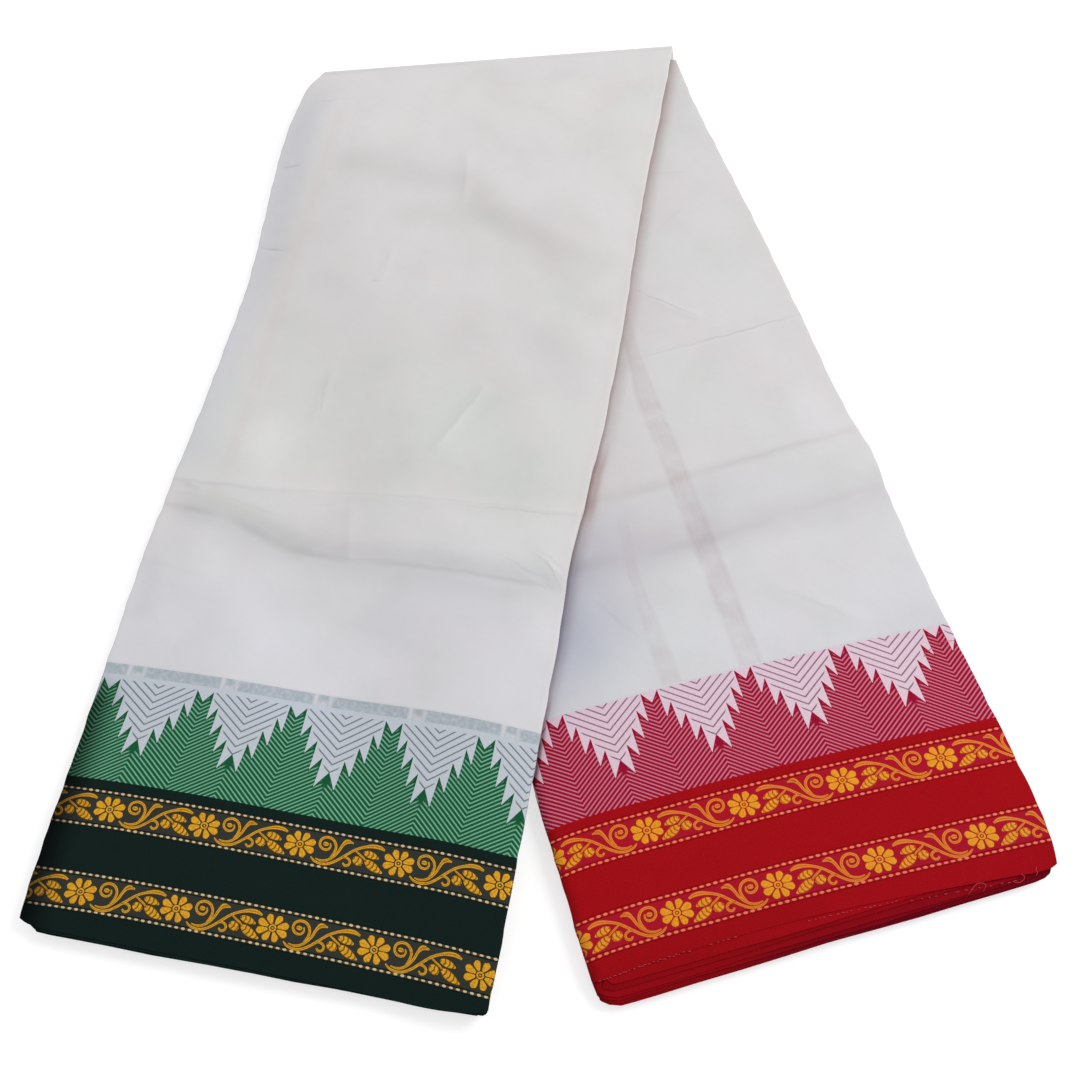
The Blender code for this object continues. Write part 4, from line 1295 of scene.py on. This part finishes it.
# key, what it colours, and how it looks on screen in the stage's light, from 0 to 255
COLOURS = (
    ("white", "Bleached cotton of the field", (220, 218, 218)),
    ("faint_band", "Band above the green temples", (166, 178, 184)),
    ("seen_through", "Band that shows through the lower arm", (178, 150, 152)),
    ("thread", "Frayed threads at the red end", (206, 66, 82)),
    ("green_side_white", "Ground over the green temples", (200, 206, 211)),
    ("green_side_vee", "Lines over the green temples", (94, 102, 112)),
    ("green_temple", "Green of the temples", (25, 90, 55)),
    ("green_chevron", "Pale lines in the green temples", (128, 186, 156)),
    ("green_plain", "Plain dark stripes of the green border", (18, 33, 31)),
    ("green_mottle", "Lighter tone of the dark stripes", (22, 40, 36)),
    ("green_line", "Fine lines of the green border", (8, 24, 24)),
    ("green_vine_ground", "Ground of the green border's vines", (60, 62, 56)),
    ("green_gold", "Gold thread on the green border", (240, 180, 36)),
    ("green_gold_deep", "Shaded ribs of its gold thread", (176, 108, 10)),
    ("green_gold_edge", "Outline of its gold", (78, 46, 10)),
    ("green_dash", "Dashes of the green border", (204, 192, 160)),
    ("green_dash_line", "Line beneath the green border's dashes", (84, 62, 28)),
    ("red_side_white", "Ground over the red temples", (232, 205, 215)),
    ("red_side_vee", "Lines over the red temples", (128, 72, 98)),
    ("red_temple", "Red of the temples", (160, 14, 50)),
    ("red_chevron", "Pale lines in the red temples", (216, 128, 146)),
    ("red_plain", "Plain stripes of the red border", (172, 13, 22)),
    ("red_mottle", "Deeper tone of the red stripes", (156, 9, 19)),
    ("red_line", "Fine lines of the red border", (118, 4, 14)),
    ("red_vine_ground", "Ground of the red border's vines", (184, 24, 48)),
    ("red_gold", "Gold thread on the red border", (244, 168, 22)),
    ("red_stem", "Stems of the vines on the red border", (244, 130, 42)),
    ("red_gold_deep", "Shaded ribs of its gold thread", (214, 112, 18)),
    ("red_gold_edge", "Outline of its gold", (160, 50, 16)),
    ("red_dash", "Dashes of the red border", (240, 122, 92)),
    ("red_dash_line", "Line beneath the red border's dashes", (176, 34, 24)),
)


def ink(shade):
    """A part of a colour as it looks on screen, from 0 to 255, as the cloth's own linear one."""
    return (((shade / 255 + 0.055) / 1.055) ** 2.4 if shade > 10 else shade / 255 / 12.92) / LIT


def colour_property(key, description, default):
    """A colour of the cloth, as a setting."""
    return FloatVectorProperty(name=key.replace("_", " ").capitalize(), description=description,
                               default=[ink(shade) for shade in default], subtype="COLOR", size=3, min=0.0,
                               max=1.0)


def length_property(name, description, default):
    """A length of the cloth, as a setting."""
    return FloatProperty(name=name, description=description, default=default, min=0.0, unit="LENGTH",
                         precision=5)


class DHOTI_PG_sizes(bpy.types.PropertyGroup):
    """Sizes of the cloth and its plies."""

    cloth_thickness: length_property("Cloth thickness", "Thickness of the top plies", 0.00040)
    ply_thickness: length_property("Ply thickness", "Thickness of the plies beneath", 0.00030)
    edge_radius: length_property("Edge radius", "Radius of the turn at a top ply's long edges", 0.00062)
    tuck: length_property("Tuck", "How far a top ply's edge reaches in under itself", 0.0050)
    columns: IntProperty(name="Columns", description="Cells across a top ply", default=110, min=8)


class DHOTI_PG_colours(bpy.types.PropertyGroup):
    """Colours of the cloth."""

    __annotations__ = {key: colour_property(key, *rest) for key, *rest in COLOURS}


class DHOTI_PG_stage(bpy.types.PropertyGroup):
    """Strengths of the lights."""

    sky: FloatProperty(name="Sky light", description="Strength of the even light all round", default=0.74)
    key: FloatProperty(name="Key light", description="Power of the large light above", default=13.6)


# ---- operators ------------------------------------------------------------------------------------------
class DHOTI_OT_top_plies(bpy.types.Operator):
    """Lay the top ply of each arm: its white field and its border"""

    bl_idname = "dhoti.top_plies"
    bl_label = "Top plies"

    def execute(self, context):
        for side, field in ((UPPER, "upper_field"), (LOWER, "lower_field")):
            border = BORDERS[side]
            top_ply(f"{field}_cloth", side, fold_line, seam_line, 200,
                    cotton_material(f"{field} cotton", side), field)
            top_ply(f"{border}_border_cloth", side, seam_line, selvedge_line, 64,
                    border_material(f"{border} border weave", side), f"{border}_border")
        return {"FINISHED"}


class DHOTI_OT_hidden_plies(bpy.types.Operator):
    """Fold the plies beneath each arm's top ply to and fro"""

    bl_idname = "dhoti.hidden_plies"
    bl_label = "Hidden plies"

    def execute(self, context):
        for side, field in ((UPPER, "upper"), (LOWER, "lower")):
            border = BORDERS[side]
            hidden_plies(f"{field}_plies_cloth", side, fold_line, seam_line, 56,
                         cotton_material(f"{field} inner cotton"), f"{field}_plies",
                         from_fold=True)
            hidden_plies(f"{border}_plies_cloth", side, seam_line, plies_end, 22,
                         border_material(f"{border} inner weave", side, True),
                         f"{border}_border_plies")
        return {"FINISHED"}


class DHOTI_OT_brocade(bpy.types.Operator):
    """Weave the gold vines and the rows of dashes into both borders"""

    bl_idname = "dhoti.brocade"
    bl_label = "Vines and dashes"

    def execute(self, context):
        for side, border in BORDERS.items():
            vine_piece(f"{border}_vines", side, gold_material(f"{border} gold thread", side))
            dash_piece(f"{border}_dashes", side, dash_material(f"{border} dash thread", side))
        return {"FINISHED"}


class DHOTI_OT_threads(bpy.types.Operator):
    """Add the few frayed threads at the red end"""

    bl_idname = "dhoti.threads"
    bl_label = "Loose threads"

    def execute(self, context):
        thread_piece("loose_threads", plain_material("loose thread", paints().thread))
        return {"FINISHED"}


class DHOTI_OT_stage(bpy.types.Operator):
    """Set up the pale floor, the soft lights and the camera"""

    bl_idname = "dhoti.stage"
    bl_label = "Stage"

    def execute(self, context):
        place_camera(context.scene)
        place_floor(context.scene)
        place_lights(context.scene)
        return {"FINISHED"}


# ---- stage ----------------------------------------------------------------------------------------------
CAMERA_TARGET = Vector((0.01254, -0.06283, 0.0))
CAMERA_ELEVATION, CAMERA_AZIMUTH, CAMERA_ROLL = (math.radians(angle) for angle in (60.226, 2.496, 5.982))
SENSOR = 36
CAMERA_DISTANCE, CAMERA_LENS = 0.73535, 1300 / 1080 * SENSOR
FLOOR_SIZE, FLOOR_DROP, FLOOR_GREY, FLOOR_GLOW = 6, 0.0002, 0.50, 0.60
KEY_PLACE, KEY_SIZE = (1.1, 0.2, 1.2), 0.7


def place_camera(scene):
    """Looks down on the cloth from the front, with a slight roll."""
    sine, cosine = math.sin(CAMERA_AZIMUTH), math.cos(CAMERA_AZIMUTH)
    high, level = math.sin(CAMERA_ELEVATION), math.cos(CAMERA_ELEVATION)
    right = Vector((cosine, sine, 0))
    down = Vector((sine * high, -cosine * high, -level))
    ahead = Vector((-sine * level, cosine * level, -high))
    image_right = right * math.cos(CAMERA_ROLL) + down * math.sin(CAMERA_ROLL)
    image_up = right * math.sin(CAMERA_ROLL) - down * math.cos(CAMERA_ROLL)
    camera = bpy.data.objects.new("camera", bpy.data.cameras.new("camera"))
    camera.data.lens, camera.data.sensor_width = CAMERA_LENS, SENSOR
    camera.data.clip_start, camera.data.clip_end = 0.01, 20
    turn = Matrix((image_right, image_up, -ahead)).transposed()
    camera.matrix_world = Matrix.Translation(CAMERA_TARGET - ahead * CAMERA_DISTANCE) @ turn.to_4x4()
    scene.collection.objects.link(camera)
    scene.camera = camera


def place_floor(scene):
    """A plain pale floor, just under the cloth."""
    mesh = bmesh.new()
    bmesh.ops.create_grid(mesh, x_segments=1, y_segments=1, size=FLOOR_SIZE)
    data = bpy.data.meshes.new("floor")
    mesh.to_mesh(data)
    mesh.free()
    data.materials.append(plain_material("pale floor", (FLOOR_GREY,) * 3, 0.9, FLOOR_GLOW))
    floor = bpy.data.objects.new("floor", data)
    floor.location.z = -FLOOR_DROP
    scene.collection.objects.link(floor)


def place_lights(scene):
    """Even light all round, and one large lamp to the right."""
    world = bpy.data.worlds.new("soft room")
    world.use_nodes = True
    background = world.node_tree.nodes["Background"]
    background.inputs["Color"].default_value = (1, 1, 1, 1)
    background.inputs["Strength"].default_value = scene.dhoti_stage.sky
    scene.world = world
    lamp = bpy.data.lights.new("key light", "AREA")
    lamp.energy, lamp.size = scene.dhoti_stage.key, KEY_SIZE
    key = bpy.data.objects.new("key light", lamp)
    key.location = KEY_PLACE
    key.rotation_mode = "QUATERNION"
    key.rotation_quaternion = Vector(KEY_PLACE).to_track_quat("Z", "Y")
    scene.collection.objects.link(key)
    scene.view_settings.view_transform = "Standard"


class DHOTI_PT_panel(bpy.types.Panel):
    """Lists the sizes, the colours and the operators of the dhoti"""

    bl_label = "Dhoti"
    bl_idname = "DHOTI_PT_panel"
    bl_space_type = "VIEW_3D"
    bl_region_type = "UI"
    bl_category = "Dhoti"

    def draw(self, context):
        for group in (context.scene.dhoti_sizes, context.scene.dhoti_colours, context.scene.dhoti_stage):
            box = self.layout.box()
            for key in group.bl_rna.properties.keys():
                if key not in ("rna_type", "name"):
                    box.prop(group, key)
        for operator in OPERATORS:
            self.layout.operator(operator.bl_idname)


GROUPS = {"dhoti_sizes": DHOTI_PG_sizes, "dhoti_colours": DHOTI_PG_colours, "dhoti_stage": DHOTI_PG_stage}
OPERATORS = (DHOTI_OT_top_plies, DHOTI_OT_hidden_plies, DHOTI_OT_brocade, DHOTI_OT_threads, DHOTI_OT_stage)


def register():
    for made in (*GROUPS.values(), *OPERATORS, DHOTI_PT_panel):
        bpy.utils.register_class(made)
    for name, group in GROUPS.items():
        setattr(bpy.types.Scene, name, PointerProperty(type=group))


def unregister():
    for name in GROUPS:
        delattr(bpy.types.Scene, name)
    for made in (DHOTI_PT_panel, *reversed(OPERATORS), *reversed(GROUPS.values())):
        bpy.utils.unregister_class(made)


def main():
    register()
    bpy.ops.dhoti.top_plies()
    bpy.ops.dhoti.hidden_plies()
    bpy.ops.dhoti.brocade()
    bpy.ops.dhoti.threads()
    bpy.ops.dhoti.stage()


if __name__ == "__main__":
    main()
